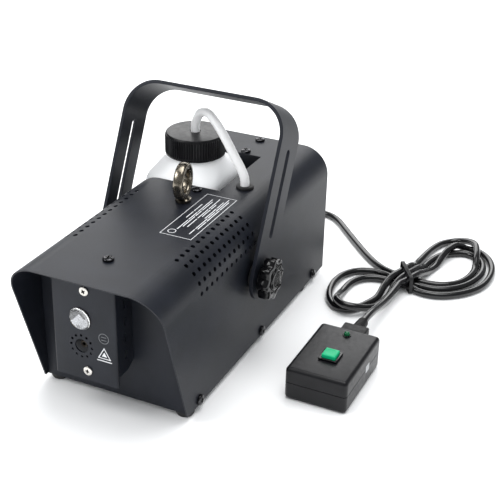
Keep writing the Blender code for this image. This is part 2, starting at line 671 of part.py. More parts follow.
def make_eye_bolt():
    base = BODY_H + GAP
    ring_z = base + 2 * MM + EYE_RING_R + EYE_WIRE_R
    section = [(EYE_RING_R + EYE_WIRE_R * cos(tau * i / 8), EYE_BAND / 2 * sin(tau * i / 8))
               for i in range(8)]
    place = Matrix.Translation((0.0, EYE_Y, ring_z)) @ Matrix.Rotation(EYE_TURN, 4, "Z")
    ring = turned(section, place @ TO_RIGHT, steps=24, closed=True)
    collar_r = 2.2 * EYE_WIRE_R
    collar = turned([(0.0, 5 * MM), (collar_r * 0.55, 5 * MM), (collar_r, 2.5 * MM), (collar_r, 0.0),
                     (EYE_WIRE_R - GAP, 0.0), (EYE_WIRE_R - GAP, -12 * MM), (0.0, -12 * MM)],
                    Matrix.Translation((0.0, EYE_Y, base)), steps=20)
    finish("eye_bolt", join(ring, collar), "zinc")


# ---------------------------------------------------------------- yoke
def make_yoke():
    """Modelled upright about its pivot, then leaned back."""
    def u_path(half_width, height, radius):
        side = [(half_width, -YOKE_STRAP)]
        side += [(half_width - radius + radius * cos(a), height - radius + radius * sin(a))
                 for a in (pi / 2 * i / 8 for i in range(9))]
        return side + [(-x, z) for x, z in reversed(side)]

    outer = u_path(YOKE_HALF_W, YOKE_RISE, YOKE_BEND_R)
    inner = u_path(YOKE_HALF_W - YOKE_T, YOKE_RISE - YOKE_T, YOKE_BEND_R - YOKE_T)
    strap = plate(outer + inner[::-1], "Y", -YOKE_STRAP / 2, YOKE_STRAP / 2)
    half = YOKE_STRAP / 2
    round_end = [(half * cos(a), half * sin(a)) for a in (pi + pi * i / 12 for i in range(13))]
    arm_shape = plate([*round_end, (half + 1 * MM, 0.0), (half + 1 * MM, 2 * YOKE_RISE),
                       (-half - 1 * MM, 2 * YOKE_RISE), (-half - 1 * MM, 0.0)],
                      "X", -BODY_W, BODY_W)
    strap = combine(strap, "INTERSECT", arm_shape)
    slot = plate(rectangle(0.0, (SLOT_LOW + SLOT_HIGH) / 2, SLOT_W, SLOT_HIGH - SLOT_LOW,
                           SLOT_W / 2 * 0.99), "X", -BODY_W, BODY_W)
    hole = plate(circle(0.0, 0.0, KNOB_STUD_R + RUN_GAP), "X", -BODY_W, BODY_W)
    yoke = finish("yoke_handle", cut(strap, slot, hole), "powder_coat")
    yoke.location = (0.0, PIVOT_Y, PIVOT_Z)
    yoke.rotation_euler = (-YOKE_TILT, 0.0, 0.0)


def make_knobs():
    outline = []
    for i in range(KNOB_LOBES * 4):
        angle = tau * i / (KNOB_LOBES * 4)
        radius = KNOB_R - KNOB_LOBE_DEPTH * (1 - cos(KNOB_LOBES * angle)) / 2
        outline.append((radius * cos(angle), radius * sin(angle)))
    stud_end = -(YOKE_HALF_W - IN_W) - 10 * MM
    for word, side, turn in (("left", -1, TO_LEFT), ("right", 1, TO_RIGHT)):
        place = Matrix.Translation((side * YOKE_HALF_W, PIVOT_Y, PIVOT_Z)) @ turn
        star = plate(outline, "Z", 2 * MM + GAP, KNOB_H)
        hub = turned([(0.0, KNOB_H + 1 * MM), (KNOB_R * 0.5, KNOB_H + 1 * MM),
                      (KNOB_R * 0.5, 2.5 * MM + GAP), (KNOB_R * 0.55, GAP), (KNOB_STUD_R, GAP),
                      (KNOB_STUD_R, stud_end), (0.0, stud_end)], Matrix())
        knob = join(star, hub)
        knob.data.transform(place)
        finish(f"yoke_knob_{word}", knob, "gloss_black", pivot=place.translation)
        gap_w = YOKE_HALF_W - YOKE_T - BODY_W / 2
        washer = turned([(KNOB_STUD_R + RUN_GAP, GAP), (SPACER_R, GAP), (SPACER_R, gap_w - GAP),
                         (KNOB_STUD_R + RUN_GAP, gap_w - GAP)],
                        Matrix.Translation((side * BODY_W / 2, PIVOT_Y, PIVOT_Z)) @ turn,
                        closed=True)
        finish(f"yoke_spacer_{word}", washer, "black_rubber")


# ---------------------------------------------------------------- fluid path
def bottle_ring(bm, width, length, radius, z):
    """A level ring of 24 points: a rectangle whose corners have the given radius."""
    points = rectangle(0.0, 0.0, width, length, radius, steps=5)
    return [bm.verts.new((BOTTLE_X + x, BOTTLE_Y + y, z)) for x, y in points]


def make_bottle():
    foot = SHEET + GAP
    shape = [
        (BOTTLE_W - 8 * MM, BOTTLE_L - 8 * MM, BOTTLE_CORNER - 4 * MM, foot),
        (BOTTLE_W, BOTTLE_L, BOTTLE_CORNER, foot + 4 * MM),
        (BOTTLE_W, BOTTLE_L, BOTTLE_CORNER, BOTTLE_SHOULDER),
        (BOTTLE_W * 0.96, BOTTLE_L * 0.96, BOTTLE_CORNER * 1.1, BOTTLE_SHOULDER + 5 * MM),
        (NECK_R * 2.35, NECK_R * 2.35, NECK_R * 1.10, NECK_Z - 3 * MM),
        (NECK_R * 2, NECK_R * 2, NECK_R * 0.999, NECK_Z),
        (NECK_R * 2, NECK_R * 2, NECK_R * 0.999, NECK_Z + CAP_H - CAP_WALL - 1 * MM),
    ]
    bm = bmesh.new()
    rings = [bottle_ring(bm, *ring) for ring in shape]
    for lower, upper in zip(rings, rings[1:]):
        count = len(lower)
        for i in range(count):
            j = (i + 1) % count
            bm.faces.new((lower[i], lower[j], upper[j], upper[i]))
    bm.faces.new(rings[0][::-1])
    bmesh.ops.recalc_face_normals(bm, faces=bm.faces)
    mesh = bpy.data.meshes.new("bottle")
    bm.to_mesh(mesh)
    bm.free()
    bottle = add_object("bottle", mesh)
    wall = bottle.modifiers.new("wall", "SOLIDIFY")
    wall.thickness = BOTTLE_WALL
    wall.offset = -1
    finish("fluid_bottle", applied(bottle), "bottle_hdpe")


def make_cap():
    base = NECK_Z + 2 * GAP
    hole = TUBE_R + RUN_GAP
    bore = CAP_R - CAP_WALL
    cap = turned([(hole, CAP_H), (CAP_R - 0.8 * MM, CAP_H), (CAP_R, CAP_H - 0.8 * MM), (CAP_R, 0.0),
                  (bore, 0.0), (bore, CAP_H - CAP_WALL), (hole, CAP_H - CAP_WALL)],
                 Matrix.Translation((BOTTLE_X, BOTTLE_Y, base)), steps=36, closed=True)
    finish("bottle_cap", cap, "black_abs", pivot=(BOTTLE_X, BOTTLE_Y, base))


def make_fluid_tube():
    route = smooth_route(TUBE_POINTS, 9 * MM)
    finish("fluid_tube", tube(route, TUBE_R), "silicone")
    neck = GROMMET_R - 1.9 * MM - GAP
    inner = TUBE_R + GAP
    above, below = BODY_H + GAP, BODY_H - SHEET - GAP
    grommet = turned([(inner, above + 2.2 * MM), (GROMMET_R - 1.2 * MM, above + 2.2 * MM),
                      (GROMMET_R, above + 1 * MM), (GROMMET_R, above), (neck, above),
                      (neck, below), (GROMMET_R, below), (GROMMET_R, below - 1.5 * MM),
                      (inner, below - 1.5 * MM)],
                     Matrix.Translation((GROMMET_X, GROMMET_Y, 0.0)), closed=True)
    finish("tube_grommet", grommet, "black_rubber")


def make_pump():
    x, y = GROMMET_X, GROMMET_Y
    half = PUMP_COIL / 2
    coil = soft_box((x - half, y - half, PUMP_Z0), (x + half, y + half, PUMP_Z1), 1 * MM, 1)
    core = turned([(0.0, PUMP_Z1 + 21 * MM), (2.5 * MM, PUMP_Z1 + 21 * MM),
                   (3 * MM, PUMP_Z1 + 12 * MM), (7 * MM, PUMP_Z1 + 12 * MM),
                   (7 * MM, PUMP_Z0 - 10 * MM), (3 * MM, PUMP_Z0 - 10 * MM),
                   (2.5 * MM, PUMP_Z0 - 16 * MM), (0.0, PUMP_Z0 - 16 * MM)],
                  Matrix.Translation((x, y, 0.0)))
    finish("pump", join(coil, core), "black_abs")
    foot = SHEET + GAP
    left = x + half + GAP
    bracket = plate([(left, foot), (left + 11 * MM, foot), (left + 11 * MM, foot + SHEET),
                     (left + SHEET, foot + SHEET), (left + SHEET, PUMP_Z1), (left, PUMP_Z1)],
                    "Y", y - half, y + half)
    finish("pump_bracket", bracket, "zinc")


def heater_ends():
    front = PANEL_Y + HEATER_BACK_OFF
    return front, front + HEATER_SIZE[1]


def make_outlet_pipe():
    _, rear = heater_ends()
    x, y, z = GROMMET_X, GROMMET_Y, PUMP_Z0 - 16 * MM - GAP
    floor = SHEET + 4 * MM
    route = smooth_route([
        (x, y, z), (x, y - 1 * MM, floor + 4 * MM), (x, y - 8 * MM, floor),
        (x - 3 * MM, y - 22 * MM, floor + 2 * MM), (x - 14 * MM, rear + 11 * MM, NOZZLE_Z * 0.45),
        (OUTLET_X + 10 * MM, rear + 9 * MM, NOZZLE_Z * 0.85),
        (OUTLET_X, rear + 5 * MM, NOZZLE_Z), (OUTLET_X, rear + GAP, NOZZLE_Z)], 6 * MM)
    finish("outlet_pipe", tube(route, 2 * MM), "copper")


def make_heater():
    front, rear = heater_ends()
    half_w, half_h = HEATER_SIZE[0] / 2, HEATER_SIZE[2] / 2
    block = soft_box((OUTLET_X - half_w, front, NOZZLE_Z - half_h),
                     (OUTLET_X + half_w, rear, NOZZLE_Z + half_h), 3 * MM)
    finish("heater_block", block, "aluminium")
    top, foot = NOZZLE_Z - half_h - GAP, SHEET + GAP
    low, high = OUTLET_X - half_w, OUTLET_X + half_w
    bracket = plate([(low, foot), (low + SHEET, foot), (low + SHEET, top - SHEET),
                     (high - SHEET, top - SHEET), (high - SHEET, foot), (high, foot), (high, top),
                     (low, top)], "Y", front + 12 * MM, rear - 12 * MM)
    finish("heater_bracket", bracket, "zinc")
    seat = Matrix.Translation((OUTLET_X, (front + rear) / 2, NOZZLE_Z + half_h + GAP))
    disc = turned([(0.0, 7 * MM), (3 * MM, 7 * MM), (3 * MM, 4 * MM), (8 * MM, 4 * MM),
                   (8 * MM, 0.0), (0.0, 0.0)], seat)
    finish("thermostat", disc, "black_abs")
    length = front - GAP - (SHIELD_Y + SHEET + 2 * MM)
    nozzle = turned([(NOZZLE_BORE_R, length), (NOZZLE_R * 0.62, length),
                     (NOZZLE_R * 0.8, length - 8 * MM), (NOZZLE_R, length - 8 * MM),
                     (NOZZLE_R, 0.0), (NOZZLE_BORE_R, 0.0)],
                    Matrix.Translation((OUTLET_X, front - GAP, NOZZLE_Z)) @ TO_FRONT, closed=True)
    finish("nozzle", nozzle, "brass")


# ---------------------------------------------------------------- light
def make_light():
    face = SHIELD_Y + SHEET                 # back of the shield's front sheet
    place = Matrix.Translation((OUTLET_X, face + GAP, LENS_Z)) @ TO_FRONT
    body = LENS_R
    rim = LENS_R + 1.4 * MM
    turns = [pi / 2 * i / 4 for i in range(5)]
    dome = [(body * sin(a), SHEET + GAP + LENS_RISE * cos(a)) for a in turns]
    lens = turned([*dome, (body, 0.0), (rim, 0.0), (rim, -1.2 * MM), (0.0, -1.2 * MM)], place,
                  steps=24)
    finish("led_lens", lens, "clear_pmma")
    depth = 12 * MM
    back = -1.2 * MM - GAP
    cup = turned([(0.0, back - depth + 2 * MM), (4 * MM, back - depth + 2 * MM),
                  (rim - 1 * MM, back), (rim, back), (rim, back - depth), (0.0, back - depth)],
                 place, steps=24)
    finish("led_reflector", cup, "aluminium")
    board_y = back - depth - GAP
    board = turned([(0.0, board_y), (rim, board_y), (rim, board_y - 1.6 * MM),
                    (0.0, board_y - 1.6 * MM)], place)
    finish("led_board", board, "board_green")


# ---------------------------------------------------------------- electrics
def make_control_board():
    width, length, thick = BOARD_SIZE
    x, z = (OUTLET_X + HEATER_SIZE[0] / 2 + IN_W) / 2, SHEET + 8 * MM
    y = (PANEL_Y + BAY_Y0) / 2 - 6 * MM
    board = box((x - width / 2, y - length / 2, z), (x + width / 2, y + length / 2, z + thick))
    sink = thick / 2
    blocks = [box((x + u, y + v, z + sink), (x + u + w, y + v + d, z + thick + h))
              for u, v, w, d, h in (
                  (-15 * MM, -38 * MM, 28 * MM, 10 * MM, 10 * MM),    # terminals
                  (-15 * MM, -20 * MM, 15 * MM, 19 * MM, 15 * MM),    # relay
                  (-13 * MM, 8 * MM, 27 * MM, 24 * MM, 20 * MM))]     # transformer
    posts = [rod((x + a * (width / 2 - 4 * MM), y + b * (length / 2 - 4 * MM), SHEET + GAP),
                 (x + a * (width / 2 - 4 * MM), y + b * (length / 2 - 4 * MM), z + sink),
                 2.5 * MM, segments=10) for a in (-1, 1) for b in (-1, 1)]
    finish("control_board", join(board, *blocks, *posts), "board_green")


def make_mains_inlet():
    low_y, out_y = BACK_Y - INLET_DEPTH, BACK_Y + 2 * MM
    body = box((INLET_X - INLET_W / 2, low_y, INLET_Z - INLET_H / 2),
               (INLET_X + INLET_W / 2, BACK_Y + GAP * 1.5, INLET_Z + INLET_H / 2))
    flange = plate(rectangle(INLET_X, INLET_Z, INLET_W + 8 * MM, INLET_H + 6 * MM, 3 * MM),
                   "Y", BACK_Y + GAP, out_y)
    inlet = join(body, flange)
    depth_y = low_y + 5 * MM
    cavity = plate(rectangle(INLET_X, INLET_Z, INLET_W - 3.4 * MM, INLET_H - 4 * MM, 3 * MM),
                   "Y", depth_y, out_y + 1 * MM)
    inlet = cut(inlet, cavity)
    pins = [box((INLET_X + x - 1 * MM, depth_y - 2 * MM, INLET_Z + z - 2 * MM),
                (INLET_X + x + 1 * MM, depth_y + 12 * MM, INLET_Z + z + 2 * MM))
            for x, z in ((-7 * MM, -1.5 * MM), (0.0, 2 * MM), (7 * MM, -1.5 * MM))]
    finish("mains_inlet", join(inlet, *pins), "black_abs")


def make_power_switch():
    body = box((SWITCH_X - SWITCH_W / 2, BACK_Y - 18 * MM, SWITCH_Z - SWITCH_H / 2),
               (SWITCH_X + SWITCH_W / 2, BACK_Y + GAP * 1.5, SWITCH_Z + SWITCH_H / 2))
    flange = plate(rectangle(SWITCH_X, SWITCH_Z, SWITCH_W + 2 * MM, SWITCH_H + 2 * MM, 1 * MM),
                   "Y", BACK_Y + GAP, BACK_Y + 1.8 * MM)
    wall = 0.9 * MM
    pocket = box((SWITCH_X - SWITCH_W / 2 + wall, BACK_Y - 9 * MM, SWITCH_Z - SWITCH_H / 2 + wall),
                 (SWITCH_X + SWITCH_W / 2 - wall, BACK_Y + 4 * MM, SWITCH_Z + SWITCH_H / 2 - wall))
    finish("power_switch", cut(join(body, flange), pocket), "black_abs")
    half_w = SWITCH_W / 2 - wall - RUN_GAP
    half_h = SWITCH_H / 2 - wall - 1.1 * MM
    pivot_y = BACK_Y - 1 * MM
    lean = radians(11)
    shape = [(4.4 * MM, half_h), (2.2 * MM, 0.0), (4.4 * MM, -half_h), (0.0, -half_h),
             (-4 * MM, -half_h * 0.6), (-4 * MM, half_h * 0.6), (0.0, half_h)]
    leaned = [(pivot_y + u * cos(lean) - v * sin(lean), SWITCH_Z + u * sin(lean) + v * cos(lean))
              for u, v in shape]
    rocker = plate(leaned, "X", SWITCH_X - half_w, SWITCH_X + half_w)
    finish("switch_rocker", rocker, "gloss_black", pivot=(SWITCH_X, pivot_y, SWITCH_Z))


def make_fuse():
    place = Matrix.Translation((FUSE_X, BACK_Y, FUSE_Z)) @ TO_REAR
    bore = FUSE_R - 1.4 * MM
    holder = turned([(0.0, -26 * MM), (FUSE_R, -26 * MM), (FUSE_R, GAP), (FUSE_R + 2 * MM, GAP),
                     (FUSE_R + 2 * MM, 2 * MM), (bore, 2 * MM), (bore, -18 * MM), (0.0, -18 * MM)],
                    place)
    finish("fuse_holder", holder, "black_abs")
    plug = bore - RUN_GAP
    cap = turned([(0.0, -12 * MM), (plug, -12 * MM), (plug, 2 * MM + RUN_GAP),
                  (FUSE_R + 0.6 * MM, 2 * MM + RUN_GAP), (FUSE_R, 9 * MM), (0.0, 9 * MM)], place)
    slot = box((FUSE_X - 2 * FUSE_R, BACK_Y + 7.6 * MM, FUSE_Z - 0.8 * MM),
               (FUSE_X + 2 * FUSE_R, BACK_Y + 12 * MM, FUSE_Z + 0.8 * MM))
    finish("fuse_cap", cut(cap, slot), "black_abs", pivot=(FUSE_X, BACK_Y, FUSE_Z))


# ---------------------------------------------------------------- plugs and sockets
def make_socket(name, place, flange):
    """A flat socket that opens along +Z, with its face at z = flange."""
    width, height = PLUG_W - 2 * MM, PLUG_H - 2 * MM
    body = box((-width / 2, -height / 2, -14 * MM), (width / 2, height / 2, flange))
    if flange > 0:
        rim = box((-width / 2 - 2 * MM, -height / 2 - 2 * MM, GAP),
                  (width / 2 + 2 * MM, height / 2 + 2 * MM, flange))
        body = join(body, rim)
    hole = box((-width / 2 + 1.5 * MM, -height / 2 + 1.5 * MM, -9 * MM),
               (width / 2 - 1.5 * MM, height / 2 - 1.5 * MM, flange + 1 * MM))
    socket = cut(body, hole)
    socket.data.transform(place)
    finish(name, socket, "black_abs")


def make_plug(name, place):
    """A flat plug with a round boot; its shoulder is at z = 0 and its cord leaves along +Z."""
    tongue_w, tongue_h = PLUG_W - 5 * MM - 2 * GAP, PLUG_H - 5 * MM - 2 * GAP
    tongue = box((-tongue_w / 2, -tongue_h / 2, -8 * MM), (tongue_w / 2, tongue_h / 2, 4 * MM))
    body = soft_box((-PLUG_W / 2, -PLUG_H / 2, GAP), (PLUG_W / 2, PLUG_H / 2, PLUG_L), 1.2 * MM)
    boot = rod((0.0, 0.0, PLUG_L - 2 * MM), (0.0, 0.0, PLUG_L + BOOT_L), BOOT_R, CORD_R + 1.2 * MM)
    plug = join(body, tongue, boot)
    plug.data.transform(place)
    finish(name, plug, "black_rubber")


def make_connections():
    rear = Matrix.Translation((SOCKET_X, BACK_Y, SOCKET_Z)) @ TO_REAR
    make_socket("remote_socket", rear, 2 * MM)
    make_plug("rear_plug", Matrix.Translation((0.0, 2 * MM, 0.0)) @ rear)
    plug_z = TAIL_POINTS[0][2]
    end = Matrix.Translation((REMOTE_X + KEY_X, REMOTE_Y + REMOTE_L / 2, plug_z)) @ TO_REAR
    make_socket("remote_inlet", end, 0.0)
    make_plug("remote_plug", end)


# ---------------------------------------------------------------- wired remote
def remote_shell(low, high, cavity_low, cavity_high):
    """One half of the remote's case: the rounded block cut at the parting line, hollow."""
    x0, y0 = REMOTE_X - REMOTE_W / 2, REMOTE_Y - REMOTE_L / 2
    x1, y1 = REMOTE_X + REMOTE_W / 2, REMOTE_Y + REMOTE_L / 2
    block = soft_box((x0, y0, FLOOR), (x1, y1, FLOOR + REMOTE_H), REMOTE_ROUND, 3)
    keep = box((x0 - 1 * MM, y0 - 1 * MM, low), (x1 + 1 * MM, y1 + 1 * MM, high))
    hollow = box((x0 + REMOTE_WALL, y0 + REMOTE_WALL, cavity_low),
                 (x1 - REMOTE_WALL, y1 - REMOTE_WALL, cavity_high))
    return cut(combine(block, "INTERSECT", keep), hollow)


def make_remote():
    parting = FLOOR + REMOTE_PARTING
    top = FLOOR + REMOTE_H
    key_x = REMOTE_X + KEY_X
    button_y, led_y = REMOTE_Y + BUTTON_Y, REMOTE_Y + LED_Y
    collar = FRAME_W - 3 * MM
    upper = remote_shell(parting + GAP / 2, top + 1 * MM, FLOOR, top - REMOTE_WALL)
    lower = remote_shell(FLOOR - 1 * MM, parting - GAP / 2, FLOOR + REMOTE_WALL, top)

    def socket_cut():
        half_w, half_h = PLUG_W / 2 - 1 * MM + GAP, PLUG_H / 2 - 1 * MM + GAP
        z, y = TAIL_POINTS[0][2], REMOTE_Y + REMOTE_L / 2
        return box((key_x - half_w, y - 2 * REMOTE_WALL, z - half_h),
                   (key_x + half_w, y + 2 * MM, z + half_h))

    button_hole = box((key_x - collar / 2 - GAP, button_y - collar / 2 - GAP, parting),
                      (key_x + collar / 2 + GAP, button_y + collar / 2 + GAP, top + 5 * MM))
    led_hole = rod((key_x, led_y, parting), (key_x, led_y, top + 5 * MM), LED_R + GAP)
    finish("remote_upper_shell", cut(upper, socket_cut(), button_hole, led_hole), "black_abs")
    finish("remote_lower_shell", cut(lower, socket_cut()), "black_abs")

    rim = box((key_x - FRAME_W / 2, button_y - FRAME_W / 2, top + GAP),
              (key_x + FRAME_W / 2, button_y + FRAME_W / 2, top + FRAME_RISE))
    neck = box((key_x - collar / 2, button_y - collar / 2, top - 6 * MM),
               (key_x + collar / 2, button_y + collar / 2, top + GAP * 2))
    opening = BUTTON_W / 2 + GAP
    bore = box((key_x - opening, button_y - opening, top - 10 * MM),
               (key_x + opening, button_y + opening, top + 5 * MM))
    finish("remote_button_frame", cut(join(rim, neck), bore), "black_abs")
    half = BUTTON_W / 2
    button = soft_box((key_x - half, button_y - half, top - 5 * MM),
                      (key_x + half, button_y + half, top + BUTTON_RISE), 0.8 * MM)
    finish("remote_button", button, "green_key", pivot=(key_x, button_y, top))
    dome = [(LED_R * sin(a), 1 * MM + LED_R * cos(a)) for a in (pi / 2 * i / 5 for i in range(6))]
    led = turned([*dome, (LED_R, -4 * MM), (0.0, -4 * MM)],
                 Matrix.Translation((key_x, led_y, top)), steps=16)
    finish("remote_led", led, "green_led")


# ---------------------------------------------------------------- the remote's cord
def loop_ring(loop, low, height):
    """A flat oval ring: the space that one loop of the tied-up cord takes."""
    def oval(shrink):
        a, b = (half - shrink for half in loop["half"])
        turn = Matrix.Rotation(loop["turn"], 2)
        return [tuple(turn @ Vector((a * cos(t), b * sin(t))) + Vector(loop["centre"]))
                for t in (tau * i / 26 for i in range(26))]
    return cut(plate(oval(0.0), "Z", low, low + height),
               plate(oval(LOOP_BAND), "Z", low - height, low + 2 * height))


def tie_ring(spare):
    """The tie's band round the waist; spare makes it larger all over, to cut with."""
    window_w, window_h = TIE_WINDOW[0] - 2 * spare, TIE_WINDOW[1] - 2 * spare
    wrap = TIE_T + 2 * spare
    middle = FLOOR + TIE_T + TIE_WINDOW[1] / 2
    half = TIE_W / 2 + spare
    band = plate(rectangle(0.0, 0.0, window_w + 2 * wrap, window_h + 2 * wrap), "X", -half, half,
                 holes=[rectangle(0.0, 0.0, window_w, window_h)])
    band.data.transform(Matrix.Translation((*WAIST, middle)) @ Matrix.Rotation(TIE_TURN, 4, "Z"))
    return band


def make_cord():
    spacing = 2.4 * 2 * CORD_R
    finish("cable_lead", tube(smooth_route(LEAD_POINTS, spacing), CORD_R), "pvc_cord")
    finish("cable_tail", tube(smooth_route(TAIL_POINTS, spacing), CORD_R), "pvc_cord")
    low = FLOOR + BUNDLE_LIFT
    knot = box((-WAIST_SIZE[0] / 2, -WAIST_SIZE[1] / 2, low + 0.1 * MM),
               (WAIST_SIZE[0] / 2, WAIST_SIZE[1] / 2, low + WAIST_SIZE[2]))
    knot.data.transform(Matrix.Translation((*WAIST, 0.0)) @ Matrix.Rotation(TIE_TURN, 4, "Z"))
    bundle = join(loop_ring(LOOP_RIGHT, low, 4 * CORD_R),
                  loop_ring(LOOP_LEFT, low + 0.2 * MM, 2 * CORD_R), knot)
    finish("cable_bundle", cut(bundle, tie_ring(GAP)), "pvc_cord")
    finish("cable_tie", tie_ring(0.0), "black_rubber")


make_top_cover()
make_base_tray()
make_rear_panel()
make_front_shield()
make_bottle_bay()
make_feet()
make_screws()
make_shield_screws()
make_eye_bolt()
make_yoke()
make_knobs()
make_bottle()
make_cap()
make_fluid_tube()
make_pump()
make_outlet_pipe()
make_heater()
make_light()
make_control_board()
make_mains_inlet()
make_power_switch()
make_fuse()
make_connections()
make_remote()
make_cord()
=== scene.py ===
# %% [markdown]
# # Compact fog machine
#
# A black sheet-steel body with a slanted hood, a tilting yoke, a fluid bottle in its bay, a pump
# hose and a wired remote on a tied-up cord.  X is to the right seen from the front, -Y is the
# front and +Z is up.  The feet stand 5 mm below the origin.  Shapes are modelled in millimetres
# and scaled to metres when they are finished.

# %% Set-up
from math import cos, hypot, pi, radians, sin, tau

import bmesh
import bpy
from mathutils import Matrix, Vector


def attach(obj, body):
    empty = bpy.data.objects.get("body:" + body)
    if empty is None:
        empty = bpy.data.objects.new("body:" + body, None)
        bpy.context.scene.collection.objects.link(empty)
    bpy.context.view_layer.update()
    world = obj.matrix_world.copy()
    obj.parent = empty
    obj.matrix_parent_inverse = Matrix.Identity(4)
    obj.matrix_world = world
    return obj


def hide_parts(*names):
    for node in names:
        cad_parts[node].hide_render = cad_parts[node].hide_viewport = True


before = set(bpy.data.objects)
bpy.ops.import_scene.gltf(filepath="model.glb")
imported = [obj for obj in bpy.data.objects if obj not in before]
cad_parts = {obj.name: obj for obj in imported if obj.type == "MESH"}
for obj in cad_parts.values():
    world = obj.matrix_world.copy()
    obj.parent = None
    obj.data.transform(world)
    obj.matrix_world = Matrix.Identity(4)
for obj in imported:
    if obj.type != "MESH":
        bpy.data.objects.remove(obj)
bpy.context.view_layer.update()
scene = bpy.context.scene
MM = 0.001

# %% [markdown]
# ## Dimensions
# These repeat the sizes of the mechanical parts, in millimetres.

# %% Dimensions
GAP = 0.3                  # between pieces that touch
SHEET = 1.2                # steel sheet
BODY_W, BODY_L, BODY_H = 130.0, 274.0, 120.0
FRONT, REAR, FLOOR = -BODY_L / 2, BODY_L / 2, -5.0
HOOD = 40.0                # the top reaches this far past the lower front corners
CORNER_R = 25.4            # outer radius of the bend between top and side
IN_W = 63.5                # half the tray's width
PANEL_Y, BACK_Y = -134.0, 134.0
BAY_X, BAY_Y0, BAY_Y1, BAY_SILL = 17.2, 9.7, 92.6, 36.0

SCREW_R, SCREW_L = 1.5, 6.0
HEAD_R, HEAD_H = 4.4, 2.4              # black pan heads
SHIELD_HEAD_R, SHIELD_HEAD_H = 3.8, 1.25
# RECESS_REACH sets how far the painted shade in each screw's recess reaches
RECESS_REACH = 0.74        # the darkened recess, as a share of the head's radius
TOP_SCREW_Y = (FRONT, BAY_Y0 - 8.0, BAY_Y1 + 4.5, REAR - 9.5)
SIDE_SCREW_Y = [FRONT + 19.5 + 113.7 * i for i in range(3)]
SIDE_SCREW_Z = 4.6
VENT_D, VENT_PITCH, VENT_COLUMNS, VENT_ROWS = 3.8, 8.34, 12, 5

SHIELD_X, SHIELD_W, SHIELD_Y = -10.8, 55.2, -157.0
SHIELD_Z0, SHIELD_Z1, FLANGE_Z0 = 23.5, 105.5, 32.4
MARK_X, MARK_Z = SHIELD_X + 16.6, 50.2
SHIELD_SCREWS = {"upper": (SHIELD_X + 1.6, 101.6), "lower": (SHIELD_X + 1.6, 32.3)}
OUTLET_X, NOZZLE_Z, LENS_Z, LENS_R = -14.0, 53.0, 76.8, 9.3

PIVOT_Y, PIVOT_Z, YOKE_TILT = -23.4, 69.0, radians(25.8)
YOKE_HALF_W, YOKE_T, YOKE_STRAP, YOKE_RISE, YOKE_BEND_R = 73.1, 3.0, 38.0, 140.0, 29.0
KNOB_R = 17.8

BOTTLE_X, BOTTLE_Y, BOTTLE_W, BOTTLE_L = -27.2, 51.15, 69.0, 76.5
SHOULDER_Z, NECK_Z, NECK_R = 111.0, 131.0, 22.0
CAP_R = 26.5
TUBE_R, GROMMET_X, GROMMET_Y, GROMMET_R = 3.9, 33.0, 25.8, 7.5
GROMMET_NECK_R = GROMMET_R - 1.9
EYE_Y, EYE_RING_R, EYE_WIRE_R, EYE_BAND, EYE_TURN = -22.0, 12.6, 3.0, 8.4, radians(10)

REMOTE_X, REMOTE_Y, REMOTE_W, REMOTE_L, REMOTE_H = 142.9, -34.65, 52.0, 77.9, 29.0
KEY_X, BUTTON_Y, LED_Y = REMOTE_X + 0.4, REMOTE_Y - 8.9, REMOTE_Y + 27.6
REMOTE_TOP, PARTING, REMOTE_PLUG_Z = FLOOR + REMOTE_H, FLOOR + 15.6, FLOOR + 19.7
CORD_R, SOCKET_X, SOCKET_Z = 3.35, -7.0, 42.0
PLUG_W, PLUG_H, PLUG_L, BOOT_L = 22.0, 12.0, 14.0, 15.0
PLUG_TAIL = PLUG_L + BOOT_L + 3 * GAP

TO_FRONT = Matrix.Rotation(pi / 2, 4, "X")      # turns +Z to -Y
TO_REAR = Matrix.Rotation(-pi / 2, 4, "X")      # turns +Z to +Y
TO_RIGHT = Matrix.Rotation(pi / 2, 4, "Y")      # turns +Z to +X
TO_LEFT = Matrix.Rotation(-pi / 2, 4, "Y")      # turns +Z to -X
print("body, mm:", BODY_W, BODY_L + HOOD, BODY_H)

# %% [markdown]
# ## Camera and light
# The camera stands in front, to the right and above, and looks down at the body.  Three large
# soft lamps and a white surround light the black coat.

# %% Camera
yaw, pitch, roll = -0.430, 0.481, 0.024
forward = Vector((sin(yaw) * cos(pitch), cos(yaw) * cos(pitch), -sin(pitch)))
right = Vector((cos(yaw), -sin(yaw), 0.0))
upward = right.cross(forward)
camera_x = right * cos(roll) + upward * sin(roll)
camera_y = upward * cos(roll) - right * sin(roll)
camera = bpy.data.objects.new("camera", bpy.data.cameras.new("camera"))
scene.collection.objects.link(camera)
camera.matrix_world = Matrix((camera_x, camera_y, -forward)).transposed().to_4x4()
camera.location = Vector((390.0, -739.3, 501.6)) * MM
camera.data.sensor_width = 36.0
camera.data.lens = 79.3
camera.data.clip_start, camera.data.clip_end = 0.05, 20.0
scene.camera = camera
print("camera distance, mm:", round(camera.location.length / MM))


# %% Light
def area_light(name, place, target, width, height, power, colour=(1.0, 1.0, 1.0)):
    lamp = bpy.data.lights.new(name, "AREA")
    lamp.shape = "RECTANGLE"
    lamp.size, lamp.size_y = width, height
    lamp.energy = power
    lamp.color = colour
    obj = bpy.data.objects.new(name, lamp)
    scene.collection.objects.link(obj)
    obj.location = place
    aim = Vector(target) - Vector(place)
    obj.rotation_euler = aim.to_track_quat("-Z", "Y").to_euler()


area_light("key", (-0.80, -0.75, 1.10), (0.0, 0.0, 0.06), 0.70, 0.70, 9.0)
area_light("overhead", (0.15, 0.10, 1.60), (0.1, 0.0, 0.0), 1.20, 1.00, 16.0)
area_light("back", (-0.58, 1.25, 0.82), (0.0, 0.0, 0.12), 1.60, 0.80, 12.0)
scene.world = bpy.data.worlds.new("studio")
scene.world.use_nodes = True
sky = scene.world.node_tree
